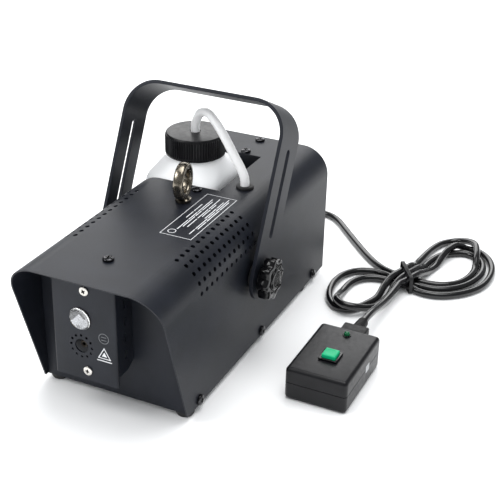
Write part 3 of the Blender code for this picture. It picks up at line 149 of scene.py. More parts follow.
# The surround lights the object in full, but shows only dimly in its reflections.
rays = sky.nodes.new("ShaderNodeLightPath")
dimmed = sky.nodes.new("ShaderNodeMapRange")
dimmed.inputs["To Min"].default_value = 1.0
dimmed.inputs["To Max"].default_value = 0.26
sky.links.new(rays.outputs["Is Glossy Ray"], dimmed.inputs["Value"])
sky.links.new(dimmed.outputs["Result"], sky.nodes["Background"].inputs["Strength"])
sky.nodes["Background"].inputs["Color"].default_value = (0.96, 0.98, 1.0, 1.0)
scene.view_settings.view_transform = "Standard"

# %% [markdown]
# ## Materials
# Every material is made of shader nodes in object coordinates, with patterns sized in
# millimetres.


# %% Shader helpers
def linear(code):
    """A linear colour from an sRGB hex code."""
    parts = [int(code[i:i + 2], 16) / 255 for i in (1, 3, 5)]
    return (*[c / 12.92 if c <= 0.04045 else ((c + 0.055) / 1.055) ** 2.4 for c in parts], 1.0)


def node(tree, kind, settings=(), **inputs):
    """Adds a node; an input is a value or the socket to link to it, and _ stands for a space."""
    made = tree.nodes.new(kind)
    for key, value in settings:
        setattr(made, key, value)
    for key, value in inputs.items():
        socket = made.inputs[int(key[2:]) if key.startswith("in") else key.replace("_", " ")]
        if isinstance(value, bpy.types.NodeSocket):
            tree.links.new(value, socket)
        else:
            socket.default_value = value
    return made


def empty_material(name):
    material = bpy.data.materials.new(name)
    material.use_nodes = True
    tree = material.node_tree
    tree.nodes.clear()
    return material, tree, node(tree, "ShaderNodeTexCoord").outputs["Object"]


def grain(tree, place, size_mm, detail=2.0, stretch=None):
    """Noise whose features are about size_mm across."""
    if stretch is not None:
        place = node(tree, "ShaderNodeMapping", Vector=place, Scale=stretch).outputs["Vector"]
    return node(tree, "ShaderNodeTexNoise", Vector=place, Scale=1000.0 / size_mm,
                Detail=detail).outputs["Fac"]


def spread(tree, factor, low, high, start=0.3, end=0.7):
    """A value between low and high that follows a factor."""
    return node(tree, "ShaderNodeMapRange", Value=factor, From_Min=start, From_Max=end,
                To_Min=low, To_Max=high).outputs["Result"]


def two_tone(tree, factor, dark, light):
    ramp = node(tree, "ShaderNodeValToRGB", Fac=factor)
    ramp.color_ramp.elements[0].color = linear(dark)
    ramp.color_ramp.elements[1].color = linear(light)
    ramp.color_ramp.elements[0].position, ramp.color_ramp.elements[1].position = 0.35, 0.65
    return ramp.outputs["Color"]


def surface(tree, relief=None, depth_mm=0.05, strength=0.5, **inputs):
    """The principled shader, with an optional relief, linked to the material's output."""
    if relief is not None:
        inputs["Normal"] = node(tree, "ShaderNodeBump", Height=relief, Strength=strength,
                                Distance=depth_mm * MM).outputs["Normal"]
    shader = node(tree, "ShaderNodeBsdfPrincipled", **inputs)
    node(tree, "ShaderNodeOutputMaterial", Surface=shader.outputs["BSDF"])
    return shader


def powder(name, dark, light, rough_low, rough_high):
    """Powder paint: a fine orange-peel relief and slight changes of gloss."""
    material, tree, place = empty_material(name)
    fine, broad = grain(tree, place, 0.55, 3.0), grain(tree, place, 24.0)
    surface(tree, fine, 0.06, 0.45, Base_Color=two_tone(tree, broad, dark, light),
            Specular_IOR_Level=0.26, Roughness=spread(tree, fine, rough_low, rough_high))
    return material


def plastic(name, dark, light, rough_low, rough_high, texture_mm=0.0, depth_mm=0.03, coat=0.0,
            shine=0.5):
    """Moulded plastic or rubber, with a spark texture when texture_mm is given."""
    material, tree, place = empty_material(name)
    broad = grain(tree, place, 12.0)
    relief = grain(tree, place, texture_mm) if texture_mm else None
    surface(tree, relief, depth_mm, 0.5, Base_Color=two_tone(tree, broad, dark, light),
            Roughness=spread(tree, grain(tree, place, 3.0), rough_low, rough_high),
            Coat_Weight=coat, Coat_Roughness=0.08, Specular_IOR_Level=shine)
    return material


def metal(name, dark, light, rough_low, rough_high, grain_mm=1.5, stretch=None):
    """Bare or plated metal with fine marks."""
    material, tree, place = empty_material(name)
    marks = grain(tree, place, grain_mm, 4.0, stretch)
    surface(tree, marks, 0.01, 0.3, Base_Color=two_tone(tree, grain(tree, place, 6.0), dark, light),
            Roughness=spread(tree, marks, rough_low, rough_high), Metallic=1.0)
    return material


def clear(name, colour, roughness, transmission, alpha=1.0, ior=1.5, subsurface=0.0):
    """Clear or milky plastic."""
    material, tree, place = empty_material(name)
    surface(tree, grain(tree, place, 8.0), 0.02, 0.2, Base_Color=linear(colour),
            Roughness=roughness, Transmission_Weight=transmission, Alpha=alpha, IOR=ior,
            Subsurface_Weight=subsurface, Subsurface_Scale=0.004,
            Subsurface_Radius=(1.0, 1.0, 1.0))
    return material


# %% Materials
M = {
    # fine-texture black powder coat on steel sheet
    "powder_coat": powder("black_powder_coat", "#15181f", "#1a1d25", 0.38, 0.50),
    # black zinc-plated steel screw
    "black_screw": metal("black_zinc_steel", "#3a3a3c", "#4a4a4c", 0.14, 0.26),
    # bright zinc plate on steel
    "zinc": metal("bright_zinc_steel", "#c9c6bf", "#dedbd6", 0.16, 0.30, 2.0),
    # forged steel with a worn nickel plate
    "nickel": metal("worn_nickel_steel", "#7d766a", "#a39b8d", 0.16, 0.32, 2.5),
    # painted shade in a screw's recess: a dark material where the recess lies in shadow
    "recess": plastic("recess_black", "#050505", "#080808", 0.7, 0.8),
    # cast and machined aluminium
    "aluminium": metal("bright_aluminium", "#c9cacc", "#d8d9db", 0.06, 0.14),
    # turned brass
    "brass": metal("heat_tinted_brass", "#2a2724", "#35312c", 0.34, 0.46, 0.6, (1.0, 8.0, 1.0)),
    # drawn copper tube
    "copper": metal("drawn_copper", "#b46f4c", "#c98460", 0.24, 0.40),
    # black nitrile rubber
    "black_rubber": plastic("black_rubber", "#111112", "#161618", 0.50, 0.65, 0.5, 0.03),
    # black ABS with a spark-eroded texture
    "black_abs": plastic("black_abs", "#0f0f12", "#141417", 0.28, 0.40, 0.45, shine=0.27),
    # polished black polyamide
    "gloss_black": plastic("polished_black_nylon", "#050506", "#08080a", 0.12, 0.20, shine=0.4),
    # blow-moulded natural polyethylene, milky
    "bottle_hdpe": clear("natural_polyethylene", "#fbfcfd", 0.36, 0.06, 1.0, 1.5, 0.3),
    # milky silicone hose
    "silicone": clear("milky_silicone", "#fcfcfc", 0.28, 0.06, 1.0, 1.42, 0.3),
    # clear moulded acrylic
    "clear_pmma": clear("clear_acrylic", "#ffffff", 0.03, 1.0, 1.0, 1.49),
    # green moulded push button
    "green_key": plastic("green_polycarbonate", "#05a06c", "#07a872", 0.30, 0.38, shine=0.2),
    # tinted green light
    "green_led": clear("green_epoxy", "#1c7a4c", 0.10, 0.55, 1.0, 1.5),
    # amber silicone over the light's chip
    "amber": plastic("amber_silicone", "#a08a3a", "#b39a48", 0.18, 0.28),
    # green solder mask on fibreglass
    "board_green": plastic("solder_mask", "#154a2c", "#1a5a35", 0.30, 0.42),
    # black PVC cord sheath
    "pvc_cord": plastic("black_pvc_sheath", "#09090b", "#0d0d0f", 0.16, 0.24, coat=0.3),
    # pale printing ink
    "ink": plastic("pale_screen_ink", "#d4d6d8", "#e0e1e3", 0.45, 0.55),
    # pale paper sticker
    "paper": plastic("pale_paper", "#a9abad", "#b6b8ba", 0.6, 0.7),
    # grey printing ink
    "grey_ink": plastic("grey_screen_ink", "#6a6c70", "#76787c", 0.45, 0.55),
}
print("materials:", len(M))

# %% [markdown]
# ## Modelling helpers
# Shapes are bmeshes in millimetres.  `finished` turns one into an object in metres that rides on
# its body and stands for its mechanical part.


# %% Modelling helpers
def placed(bm, place):
    bmesh.ops.transform(bm, matrix=place, verts=bm.verts)
    return bm


def move(x, y, z):
    return Matrix.Translation((x, y, z))


def box(low, high, radius=0.0, segments=3):
    """A box between two corners, with all its edges rounded where radius is given."""
    low, high = Vector(low), Vector(high)
    bm = bmesh.new()
    bmesh.ops.create_cube(bm, size=1.0)
    placed(bm, Matrix.Translation((low + high) / 2) @ Matrix.Diagonal((*(high - low), 1.0)))
    if radius > 0:
        bmesh.ops.bevel(bm, geom=bm.edges[:], offset=radius, segments=segments, profile=0.5,
                        affect="EDGES", material=-1)
    return bm


def rod(start, end, radius, end_radius=None, segments=32):
    start, end = Vector(start), Vector(end)
    along = end - start
    bm = bmesh.new()
    bmesh.ops.create_cone(bm, cap_ends=True, segments=segments, radius1=radius,
                          radius2=radius if end_radius is None else end_radius,
                          depth=along.length)
    turn = along.to_track_quat("Z", "Y").to_matrix().to_4x4()
    return placed(bm, Matrix.Translation((start + end) / 2) @ turn)


def turned(profile, place=Matrix(), steps=48, closed=False):
    """A profile of (radius, height) points spun about Z, then put in its place."""
    bm = bmesh.new()
    verts = [bm.verts.new((r, 0.0, h)) for r, h in profile]
    pairs = list(zip(verts, verts[1:]))
    if closed:
        pairs.append((verts[-1], verts[0]))
    edges = [bm.edges.new(pair) for pair in pairs]
    bmesh.ops.spin(bm, geom=verts + edges, cent=(0, 0, 0), axis=(0, 0, 1), angle=tau,
                   steps=steps, use_merge=True)
    bmesh.ops.remove_doubles(bm, verts=bm.verts, dist=1e-4)
    bmesh.ops.recalc_face_normals(bm, faces=bm.faces)
    return placed(bm, place)


def prism(outline, axis, low, high):
    """A closed outline in the two other coordinates, in the order X, Y, Z, made solid."""
    columns = {
        "X": ((0, 1, 0), (0, 0, 1), (1, 0, 0)),
        "Y": ((1, 0, 0), (0, 0, 1), (0, 1, 0)),
        "Z": ((1, 0, 0), (0, 1, 0), (0, 0, 1)),
    }[axis]
    bm = bmesh.new()
    face = bm.faces.new([bm.verts.new((u, v, low)) for u, v in outline])
    grown = bmesh.ops.extrude_face_region(bm, geom=[face])["geom"]
    bmesh.ops.translate(bm, vec=(0, 0, high - low),
                        verts=[v for v in grown if isinstance(v, bmesh.types.BMVert)])
    placed(bm, Matrix(columns).transposed().to_4x4())
    bmesh.ops.recalc_face_normals(bm, faces=bm.faces)
    return bm


def loft(rings, low_cap=True, high_cap=True):
    """Faces between rings of points that have the same count."""
    bm = bmesh.new()
    rows = [[bm.verts.new(p) for p in ring] for ring in rings]
    for lower, upper in zip(rows, rows[1:]):
        for i in range(len(lower)):
            j = (i + 1) % len(lower)
            bm.faces.new((lower[i], lower[j], upper[j], upper[i]))
    if low_cap:
        bm.faces.new(rows[0][::-1])
    if high_cap:
        bm.faces.new(rows[-1])
    bmesh.ops.recalc_face_normals(bm, faces=bm.faces)
    return bm


def gathered(shapes):
    """One bmesh that holds several."""
    whole = bmesh.new()
    for shape in shapes:
        mesh = bpy.data.meshes.new("shape")
        shape.to_mesh(mesh)
        shape.free()
        whole.from_mesh(mesh)
        bpy.data.meshes.remove(mesh)
    return whole


def as_object(bm):
    mesh = bpy.data.meshes.new("shape")
    bmesh.ops.recalc_face_normals(bm, faces=bm.faces)
    bm.to_mesh(mesh)
    bm.free()
    obj = bpy.data.objects.new("shape", mesh)
    scene.collection.objects.link(obj)
    return obj


def combined(target, operation, *tools):
    """Exact Booleans between bmeshes."""
    body = as_object(target)
    others = [as_object(tool) for tool in tools]
    for other in others:
        step = body.modifiers.new("step", "BOOLEAN")
        step.operation, step.solver, step.object = operation, "EXACT", other
    graph = bpy.context.evaluated_depsgraph_get()
    mesh = bpy.data.meshes.new_from_object(body.evaluated_get(graph))
    bm = bmesh.new()
    bm.from_mesh(mesh)
    bpy.data.meshes.remove(mesh)
    for used in (body, *others):
        data = used.data
        bpy.data.objects.remove(used, do_unlink=True)
        bpy.data.meshes.remove(data)
    bmesh.ops.remove_doubles(bm, verts=bm.verts, dist=1e-4)
    return bm


def cut(target, *tools):
    return combined(target, "DIFFERENCE", *tools)


def join(target, *tools):
    return combined(target, "UNION", *tools)


def circle(u, v, radius, count=32):
    return [(u + radius * cos(tau * i / count), v + radius * sin(tau * i / count))
            for i in range(count)]


def rectangle(u, v, width, height, radius=0.0, steps=8):
    """A rectangle about its middle, with rounded corners where radius is given."""
    half_u, half_v = width / 2 - radius, height / 2 - radius
    corners = ((1, 1), (-1, 1), (-1, -1), (1, -1))
    if radius == 0:
        return [(u + a * half_u, v + b * half_v) for a, b in corners]
    return [(u + a * half_u + radius * cos(pi / 2 * (k + s / steps)),
             v + b * half_v + radius * sin(pi / 2 * (k + s / steps)))
            for k, (a, b) in enumerate(corners) for s in range(steps + 1)]


def arch(half_width, low, high, radius, steps=18):
    """The outline of an upright panel: square below, rounded at its two upper corners."""
    points = [(-half_width, low), (half_width, low)]
    for side, first in ((1, 0.0), (-1, pi / 2)):
        for step in range(steps + 1):
            angle = first + pi / 2 * step / steps
            points.append((side * (half_width - radius) + radius * cos(angle),
                           high - radius + radius * sin(angle)))
    return points


def smooth_route(points, spacing):
    """Points about spacing apart on a smooth curve through the given ones."""
    knots = [Vector(p) for p in points]
    knots = [2 * knots[0] - knots[1], *knots, 2 * knots[-1] - knots[-2]]
    route = [knots[1]]
    for before, start, end, after in zip(knots, knots[1:], knots[2:], knots[3:]):
        steps = max(1, round((end - start).length / spacing))
        for step in range(1, steps + 1):
            t = step / steps
            pull = (end - before) * t + (2 * before - 5 * start + 4 * end - after) * t ** 2
            route.append(start + (pull + (3 * start - before - 3 * end + after) * t ** 3) / 2)
    return route


def finished(bm, name, slot, replaces=(), body="root", edge=0.0, material=None, sharp=32):
    """The finished piece in metres; edge is the width of its softened edges in millimetres."""
    placed(bm, Matrix.Scale(MM, 4))
    bmesh.ops.recalc_face_normals(bm, faces=bm.faces)
    mesh = bpy.data.meshes.new(name)
    bm.to_mesh(mesh)
    bm.free()
    mesh.shade_smooth()
    mesh.set_sharp_from_angle(angle=radians(sharp))
    mesh.materials.append(material or M[slot])
    obj = bpy.data.objects.new(name, mesh)
    scene.collection.objects.link(obj)
    if edge > 0:
        soften(obj, edge)
    if replaces:
        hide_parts(*([replaces] if isinstance(replaces, str) else replaces))
    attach(obj, body)
    return obj


def soften(obj, edge, segments=2):
    """Small rounded edges, as sheet metal and moulded parts have."""
    bevel = obj.modifiers.new("soft_edges", "BEVEL")
    bevel.width = edge * MM
    bevel.segments = segments
    bevel.limit_method = "ANGLE"
    bevel.angle_limit = radians(40)
    bevel.harden_normals = True


# %% [markdown]
# ## Remote cord
# One real length of cord, from the plug on the rear panel along the floor to the remote.  Its
# spare length is coiled in a figure of eight whose crossing is held by a tie.  Level strands lie
# on the floor; where two cross, the upper one rises in a low hump.

# %% Cord
LOW_Z = FLOOR + CORD_R
TIE_AT, TIE_TURN = Vector((146.0, 146.0)), radians(33)
TIE_ACROSS = Vector((-sin(TIE_TURN), cos(TIE_TURN)))


def through_tie(across, z):
    """A point of the cord inside the tie, at a distance across it."""
    place = TIE_AT + TIE_ACROSS * across
    return (place.x, place.y, z)


def flat(*points, z=LOW_Z):
    return [(x, y, z) for x, y in points]


LOWER, UPPER = LOW_Z + 1.1, LOW_Z + 8.0      # the two layers inside the tie
LEAD = [
    (SOCKET_X, BACK_Y + 2.0 + PLUG_TAIL, SOCKET_Z), (-7.0, 176.0, 41.0), (-7.0, 188.0, 35.0),
    (-7.0, 200.0, 23.0), (-7.0, 211.0, 9.5), (-4.5, 223.0, 0.5),
    *flat((2.0, 236.0), (11.5, 245.5), (22.5, 249.0), (33.0, 246.0), (43.0, 238.5),
          (55.0, 225.0), (69.0, 209.0), (86.0, 190.0), (101.0, 174.5), (114.8, 163.4)),
]
RIGHT_ONE = [
    *flat((127.5, 157.6)), through_tie(9.5, LOWER),
    *flat((155.5, 152.8), (169.5, 153.5), (182.0, 158.5), (191.5, 168.5), (196.8, 184.0),
          (197.3, 202.0)),
    (194.6, 216.0, 3.4), (191.3, 228.0, 5.5), (187.0, 238.6, 5.6), (179.3, 246.4, 3.4),
    (170.0, 250.4, 0.2),
    *flat((160.5, 247.6), (153.0, 238.0), (148.8, 225.0), (146.3, 210.0), (144.7, 195.0)),
    (143.8, 181.0, 0.0), (143.0, 168.5, 4.4), through_tie(10.2, UPPER),
]
LEFT_ONE = [
    (135.2, 137.0, UPPER), (132.4, 123.0, 2.4),
    *flat((131.4, 107.0), (127.0, 91.5), (120.8, 80.0), (112.6, 73.2), (103.0, 73.8),
          (95.2, 81.6), (90.0, 92.0), (86.8, 105.0), (86.0, 119.0), (88.8, 133.0),
          (97.0, 145.0), (109.5, 151.2), (122.0, 151.3), (134.5, 148.3)),
    through_tie(0.0, LOWER),
]
RIGHT_TWO = [
    *flat((157.5, 144.6), (171.0, 144.6), (183.0, 149.5), (193.5, 159.0), (201.0, 172.5),
          (205.0, 190.0), (204.0, 206.0), (198.8, 218.5), (190.0, 226.7), (179.5, 228.6),
          (169.6, 223.5), (160.2, 213.5), (154.6, 197.5), (151.7, 182.0)),
    (150.2, 168.5, 3.4), through_tie(0.9, UPPER),
]
LEFT_TWO = [
    (141.2, 130.5, 3.8), *flat((139.9, 117.0), (139.2, 104.0), (136.0, 91.0)),
    (130.3, 79.0, 1.2), (122.2, 70.8, 4.6), (112.4, 68.9, 5.4), (104.0, 74.8, 5.2),
    (100.2, 86.5, 1.6),
    *flat((99.0, 103.0), (100.5, 121.0), (107.0, 133.6), (117.5, 140.3), (128.8, 141.4),
          (140.0, 139.7)),
    through_tie(-9.1, LOWER),
]
RIGHT_THREE = [
    *flat((161.0, 134.6), (172.0, 133.5), (184.0, 137.0), (196.0, 145.8), (206.0, 158.0),
          (212.6, 173.0), (214.5, 191.0), (212.5, 208.0), (206.8, 223.0), (199.0, 233.0),
          (189.5, 239.4)),
    (179.5, 238.2, LOW_Z + 0.8), (171.0, 230.3, 4.6), (166.3, 217.0, 5.2), (163.8, 205.0, 2.4),
    *flat((162.0, 192.0), (159.3, 179.0)), (157.3, 167.0, 1.6), (154.6, 153.5, 5.6),
    through_tie(-8.3, UPPER + 0.2), (148.2, 131.8, 6.8),
]
TAIL = [
    (145.8, 125.5, 7.0), (145.6, 116.0, 7.0), (145.2, 102.0, 7.0), (144.6, 86.0, 8.0),
    (144.0, 70.0, 10.4), (143.6, 56.0, 13.1), (143.4, 44.0, 14.5),
    (KEY_X, REMOTE_Y + REMOTE_L / 2 + PLUG_TAIL, REMOTE_PLUG_Z),
]
route = smooth_route(
    [*LEAD, *RIGHT_ONE, *LEFT_ONE, *RIGHT_TWO, *LEFT_TWO, *RIGHT_THREE, *TAIL], 2.0)
line = bpy.data.curves.new("remote_cord", "CURVE")
line.dimensions = "3D"
line.bevel_depth = CORD_R * MM
line.bevel_resolution = 6
line.use_fill_caps = True
spline = line.splines.new("POLY")
spline.points.add(len(route) - 1)
for point, place in zip(spline.points, route):
    point.co = (*(place * MM), 1.0)
spline.use_smooth = True
line.materials.append(M["pvc_cord"])
cord = bpy.data.objects.new("remote_cord", line)
scene.collection.objects.link(cord)
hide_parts("cable_lead", "cable_bundle", "cable_tail")
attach(cord, "root")
cord_length = sum((b - a).length for a, b in zip(route, route[1:]))
print("cord length, mm:", round(cord_length))

# %% [markdown]
# ## Housing
# The cover is one bent sheet with a slanted hood, a cut-out for the bottle and a field of vents
# round each upper corner.


# %% Cover
def bend_place(side, length):
    """A point on the cover and its normal, at a length along the sheet from the bend's start."""
    angle = min(length / CORNER_R, pi / 2)
    down = max(length - CORNER_R * pi / 2, 0.0)
    normal = Vector((side * sin(angle), 0.0, cos(angle)))
    centre = Vector((side * (BODY_W / 2 - CORNER_R), 0.0, BODY_H - CORNER_R))
    return centre + normal * CORNER_R - Vector((0.0, 0.0, down)), normal


def make_cover():
    shell = cut(prism(arch(BODY_W / 2, 0.0, BODY_H, CORNER_R), "Y", FRONT - HOOD, REAR),
                prism(arch(BODY_W / 2 - SHEET, -5.0, BODY_H - SHEET, CORNER_R - SHEET), "Y",
                      FRONT - HOOD - 5.0, REAR + 5.0))
    slope = HOOD / BODY_H
    slant = prism([(FRONT + 5 * slope, -5.0), (FRONT - HOOD - 5 * slope, BODY_H + 5.0),
                   (FRONT - 3 * HOOD, BODY_H + 5.0), (FRONT - 3 * HOOD, -5.0)],
                  "X", -BODY_W, BODY_W)
    bottle_cut = box((-BODY_W, BAY_Y0, BAY_SILL), (BAY_X, BAY_Y1, 2 * BODY_H))
    vents = []
    for side in (-1, 1):
        for row in range(VENT_ROWS):
            place, normal = bend_place(side, 4.5 + row * VENT_PITCH)
            for column in range(VENT_COLUMNS):
                at = place + Vector((0.0, FRONT + 23.6 + column * VENT_PITCH, 0.0))
                vents.append(rod(at - 3 * normal, at + 3 * normal, VENT_D / 2, segments=18))
    holes = [rod((x, y, 112), (x, y, 126), r, segments=32) for x, y, r in (
        *[(0.0, y, SCREW_R + GAP) for y in TOP_SCREW_Y], (0.0, EYE_Y, EYE_WIRE_R),
        (GROMMET_X, GROMMET_Y, GROMMET_NECK_R))]
    holes += [rod((side * 50, PIVOT_Y, PIVOT_Z), (side * 80, PIVOT_Y, PIVOT_Z), 3.5)
              for side in (-1, 1)]
    holes += [rod((side * 55, y, SIDE_SCREW_Z), (side * 75, y, SIDE_SCREW_Z), SCREW_R + GAP,
                  segments=24) for side in (-1, 1) for y in SIDE_SCREW_Y]
    cover = cut(shell, slant, bottle_cut, gathered(vents), gathered(holes))
    return finished(cover, "cover", "powder_coat", "top_cover", edge=0.4)


cover = make_cover()
print("cover faces:", len(cover.data.polygons))


# %% Printing on the top and the shield
def printed(shapes, name, material):
    """Ink on a surface: slabs a few hundredths of a millimetre thick."""
    return finished(gathered(shapes), name, None, material=material)


def frame_strips(x0, x1, y0, y1, width, low, high):
    return [box((x0, y0, low), (x1, y0 + width, high)), box((x0, y1 - width, low), (x1, y1, high)),
            box((x0, y0 + width, low), (x0 + width, y1 - width, high)),
            box((x1 - width, y0 + width, low), (x1, y1 - width, high))]


def make_top_label():
    """A frame with plain bars in the place of small print, and a ring in its corner."""
    x0, x1, y0, y1 = 11.0, 38.4, -80.7, -0.2
    low, high = BODY_H + 0.01, BODY_H + 0.05
    shapes = frame_strips(x0, x1, y0, y1, 0.45, low, high)
    rows = ((3.0, 7, (16, 22, 14)), (4.9, 3, (24, 12, 20, 9)), (6.8, 9, (12, 20)),
            (10.2, 16, (9, 14)), (12.1, 5, (20, 18, 16)), (15.5, 12, (18, 10, 20)),
            (17.4, 8, (26, 14, 18)), (20.8, 20, (14, 12)))
    for across, start, words in rows:
        x, end = x1 - across - 1.0, y1 - start
        for word in words:
            shapes.append(box((x - 0.38, end - word, low), (x + 0.38, end, high)))
            end -= word + 1.4
    mark = turned([(3.4, low), (3.4, high), (2.9, high), (2.9, low)], steps=32, closed=True)
    shapes.append(placed(mark, move(x0 + 7.0, y0 + 7.0, 0.0)))
    return printed(shapes, "top_label", M["ink"])


def ring_strip(u, v, outer, inner, count=40):
    """A flat ring on the shield's face."""
    place = move(u, SHIELD_Y, v) @ TO_FRONT
    return turned([(outer, 0.01), (outer, 0.05), (inner, 0.05), (inner, 0.01)], place, count, True)


def triangle_outline(u, v, reach):
    return [(u + reach * cos(a), v + reach * sin(a)) for a in
            (pi / 2, pi / 2 + tau / 3, pi / 2 + 2 * tau / 3)]


def make_shield_marks():
    """A plain ring and a plain triangle beside the nozzle, with a short bar below."""
    low, high = SHIELD_Y - 0.05, SHIELD_Y - 0.01
    ring = [ring_strip(MARK_X, MARK_Z + 14.5, 4.4, 4.0)]
    ring += [box((MARK_X - 2.2, low, MARK_Z + 14.5 + d), (MARK_X + 2.2, high, MARK_Z + 14.9 + d))
             for d in (-1.6, 1.0)]
    triangle = cut(prism(triangle_outline(MARK_X, MARK_Z, 6.6), "Y", low, high),
                   prism(triangle_outline(MARK_X, MARK_Z, 5.2), "Y", low - 1, high + 1))
    dots = [prism(triangle_outline(MARK_X, MARK_Z, 2.6), "Y", low, high),
            box((MARK_X - 6.4, low, MARK_Z - 5.6), (MARK_X + 6.4, high, MARK_Z - 4.8))]
    printed(ring, "shield_ring_mark", M["grey_ink"])
    printed([triangle, *dots], "shield_triangle_mark", M["ink"])


make_top_label()
make_shield_marks()
print("prints made")


# %% [markdown]
# ## Front shield, light and nozzle


# %% Front shield
def make_shield():
    low, high, back = SHIELD_X - SHIELD_W / 2, SHIELD_X + SHIELD_W / 2, PANEL_Y - GAP
    outer_r, inner_r = 1.6, 0.5

    def bend(x, side, radius, y):
        return [(x + side * radius * (1 - cos(a)), y + radius * (1 - sin(a)))
                for a in (pi / 2 * i / 5 for i in range(6))]

    outside = bend(low, 1, outer_r, SHIELD_Y) + bend(high, -1, outer_r, SHIELD_Y)[::-1]
    inside = (bend(high - SHEET, -1, inner_r, SHIELD_Y + SHEET)
              + bend(low + SHEET, 1, inner_r, SHIELD_Y + SHEET)[::-1])
    outline = [(low, back), *outside, (high, back), (high - SHEET, back), *inside,
               (low + SHEET, back)]
    channel = prism(outline, "Z", SHIELD_Z0, SHIELD_Z1)
    reach = SHIELD_Y + 2 * SHEET
    flange_cut = prism([(reach, 0.0), (back + 2, 0.0), (back + 2, FLANGE_Z0 + 5.5),
                        (back - 8, FLANGE_Z0), (reach, FLANGE_Z0)], "X", low - 2, high + 2)
    holes = [circle(OUTLET_X, LENS_Z, LENS_R + GAP, 48), circle(OUTLET_X, NOZZLE_Z, 5.8, 40)]
    holes += [circle(OUTLET_X + 9.2 * cos(a), NOZZLE_Z + 9.2 * sin(a), 1.1, 14)
              for a in (tau * i / 12 for i in range(12))]
    holes += [circle(x, z, SCREW_R + GAP, 24) for x, z in SHIELD_SCREWS.values()]
    through = gathered([prism(hole, "Y", SHIELD_Y - 2, SHIELD_Y + SHEET + 2) for hole in holes])
    middle, pitch = SHIELD_Y + 23.0 * 0.55, (SHIELD_Z1 - FLANGE_Z0) / 5
    slots = gathered([prism(rectangle(middle, FLANGE_Z0 + pitch * (i + 1), 2.4, 8.0, 1.19),
                            "X", low - 2, high + 2) for i in range(4)])
    return finished(cut(channel, flange_cut, through, slots), "shield", "powder_coat",
                    "front_shield", edge=0.2)


make_shield()
print("shield made")


# %% Light and nozzle
def make_light():
    place = move(OUTLET_X, SHIELD_Y + SHEET + GAP, LENS_Z) @ TO_FRONT
    rim = LENS_R + 1.4
    dome = [(LENS_R * sin(a), 1.5 + 3.5 * cos(a)) for a in (pi / 2 * i / 12 for i in range(13))]
    lens = turned([*dome, (LENS_R, 0.0), (rim, 0.0), (rim, -1.2), (0.0, -1.2)], place, 64)
    finished(lens, "light_lens", "clear_pmma", "led_lens")
    back, depth = -1.5, 12.0
    bowl = [(3.2 + (rim - 4.2) * t, back - 9.5 * (1 - t * t)) for t in (i / 5 for i in range(6))]
    cup = turned([(0.0, back - 9.5), *bowl, (rim, back), (rim, back - depth),
                  (0.0, back - depth)], place, 12)
    finished(cup, "light_reflector", "aluminium", "led_reflector", sharp=8)
    chip = turned([(0.0, -7.6), (1.2, -7.8), (2.0, -8.6), (2.3, -10.98), (0.0, -10.98)], place, 24)
    finished(chip, "light_chip", None, material=M["amber"])


def make_nozzle():
    front = PANEL_Y + 16.0
    length = front - GAP - (SHIELD_Y + SHEET + 2.0)
    nozzle = turned([(1.2, length - 0.6), (1.6, length), (2.8, length), (3.1, length - 0.4),
                     (4.0, length - 8), (4.8, length - 8), (5.0, length - 8.2), (5.0, 0.0),
                     (1.2, 0.0)], move(OUTLET_X, front - GAP, NOZZLE_Z) @ TO_FRONT, 48, True)
    finished(nozzle, "fog_nozzle", "brass", "nozzle")


make_light()
make_nozzle()
print("light and nozzle made")

# %% [markdown]
# ## Screws, feet and eye bolt


# %% Screws
def cross_recess(radius, depth, top):
    """A tapered cross, to cut into a screw head that points along +Z."""
    blades = []
    for turn in (0.0, pi / 2):
        blade = box((-radius, -radius * 0.22, top - depth), (radius, radius * 0.22, top + 2.0))
        for v in blade.verts:
            if v.co.z < top - depth * 0.5:
                v.co.x *= 0.35
        blades.append(placed(blade, Matrix.Rotation(turn, 4, "Z")))
    return join(*blades)


def pan_head(radius, height, length):
    """A pan-head screw along +Z with a cross recess."""
    dome = [(radius * sin(a), GAP + height * 0.45 + height * 0.55 * cos(a))
            for a in (pi / 2 * i / 8 for i in range(9))]
    shape = turned([*dome, (radius, GAP), (SCREW_R, GAP), (SCREW_R, -length + 1.0),
                    (SCREW_R * 0.6, -length), (0.0, -length)], steps=40)
    return cut(shape, cross_recess(radius * 0.70, height + 0.8, GAP + height))


def paint_recess_shade(screw, place, reach, top):
    """Gives the faces inside the recess a dark material: painted shade for the shadow in the recess.
    """
    screw.data.materials.append(M["recess"])
    back = place.inverted()
    for face in screw.data.polygons:
        centre, normal = back @ (face.center / MM), back.to_3x3() @ face.normal
        inside = hypot(centre.x, centre.y) < reach and 0.0 < centre.z < top
        if inside and (centre.z < top - 0.9 or normal.z < 0.5):
            face.material_index = 1


def make_screws():
    jobs = [(f"top_screw_{i + 1}", move(0.0, y, BODY_H)) for i, y in enumerate(TOP_SCREW_Y)]
    for word, side, turn in (("left", -1, TO_LEFT), ("right", 1, TO_RIGHT)):
        jobs += [(f"side_screw_{word}_{i + 1}", move(side * BODY_W / 2, y, SIDE_SCREW_Z) @ turn)
                 for i, y in enumerate(SIDE_SCREW_Y)]
    for i, (name, place) in enumerate(jobs):
        turn = Matrix.Rotation(radians(17 + 37 * i), 4, "Z")
        screw = finished(placed(pan_head(HEAD_R, HEAD_H, SCREW_L), place @ turn), name + "_look",
                         "black_screw", name)
        # painted shade: the faces inside the recess get a dark material
        paint_recess_shade(screw, place, HEAD_R * RECESS_REACH, GAP + HEAD_H)
    for i, (word, (x, z)) in enumerate(SHIELD_SCREWS.items()):
        place = move(x, SHIELD_Y, z) @ TO_FRONT @ Matrix.Rotation(radians(30 + 50 * i), 4, "Z")
        name = f"shield_screw_{word}"
        shape = placed(pan_head(SHIELD_HEAD_R, SHIELD_HEAD_H, SCREW_L), place)
        screw = finished(shape, name + "_look", "zinc", name)
        paint_recess_shade(screw, place, SHIELD_HEAD_R * RECESS_REACH, GAP + SHIELD_HEAD_H)


make_screws()
print("screws made")


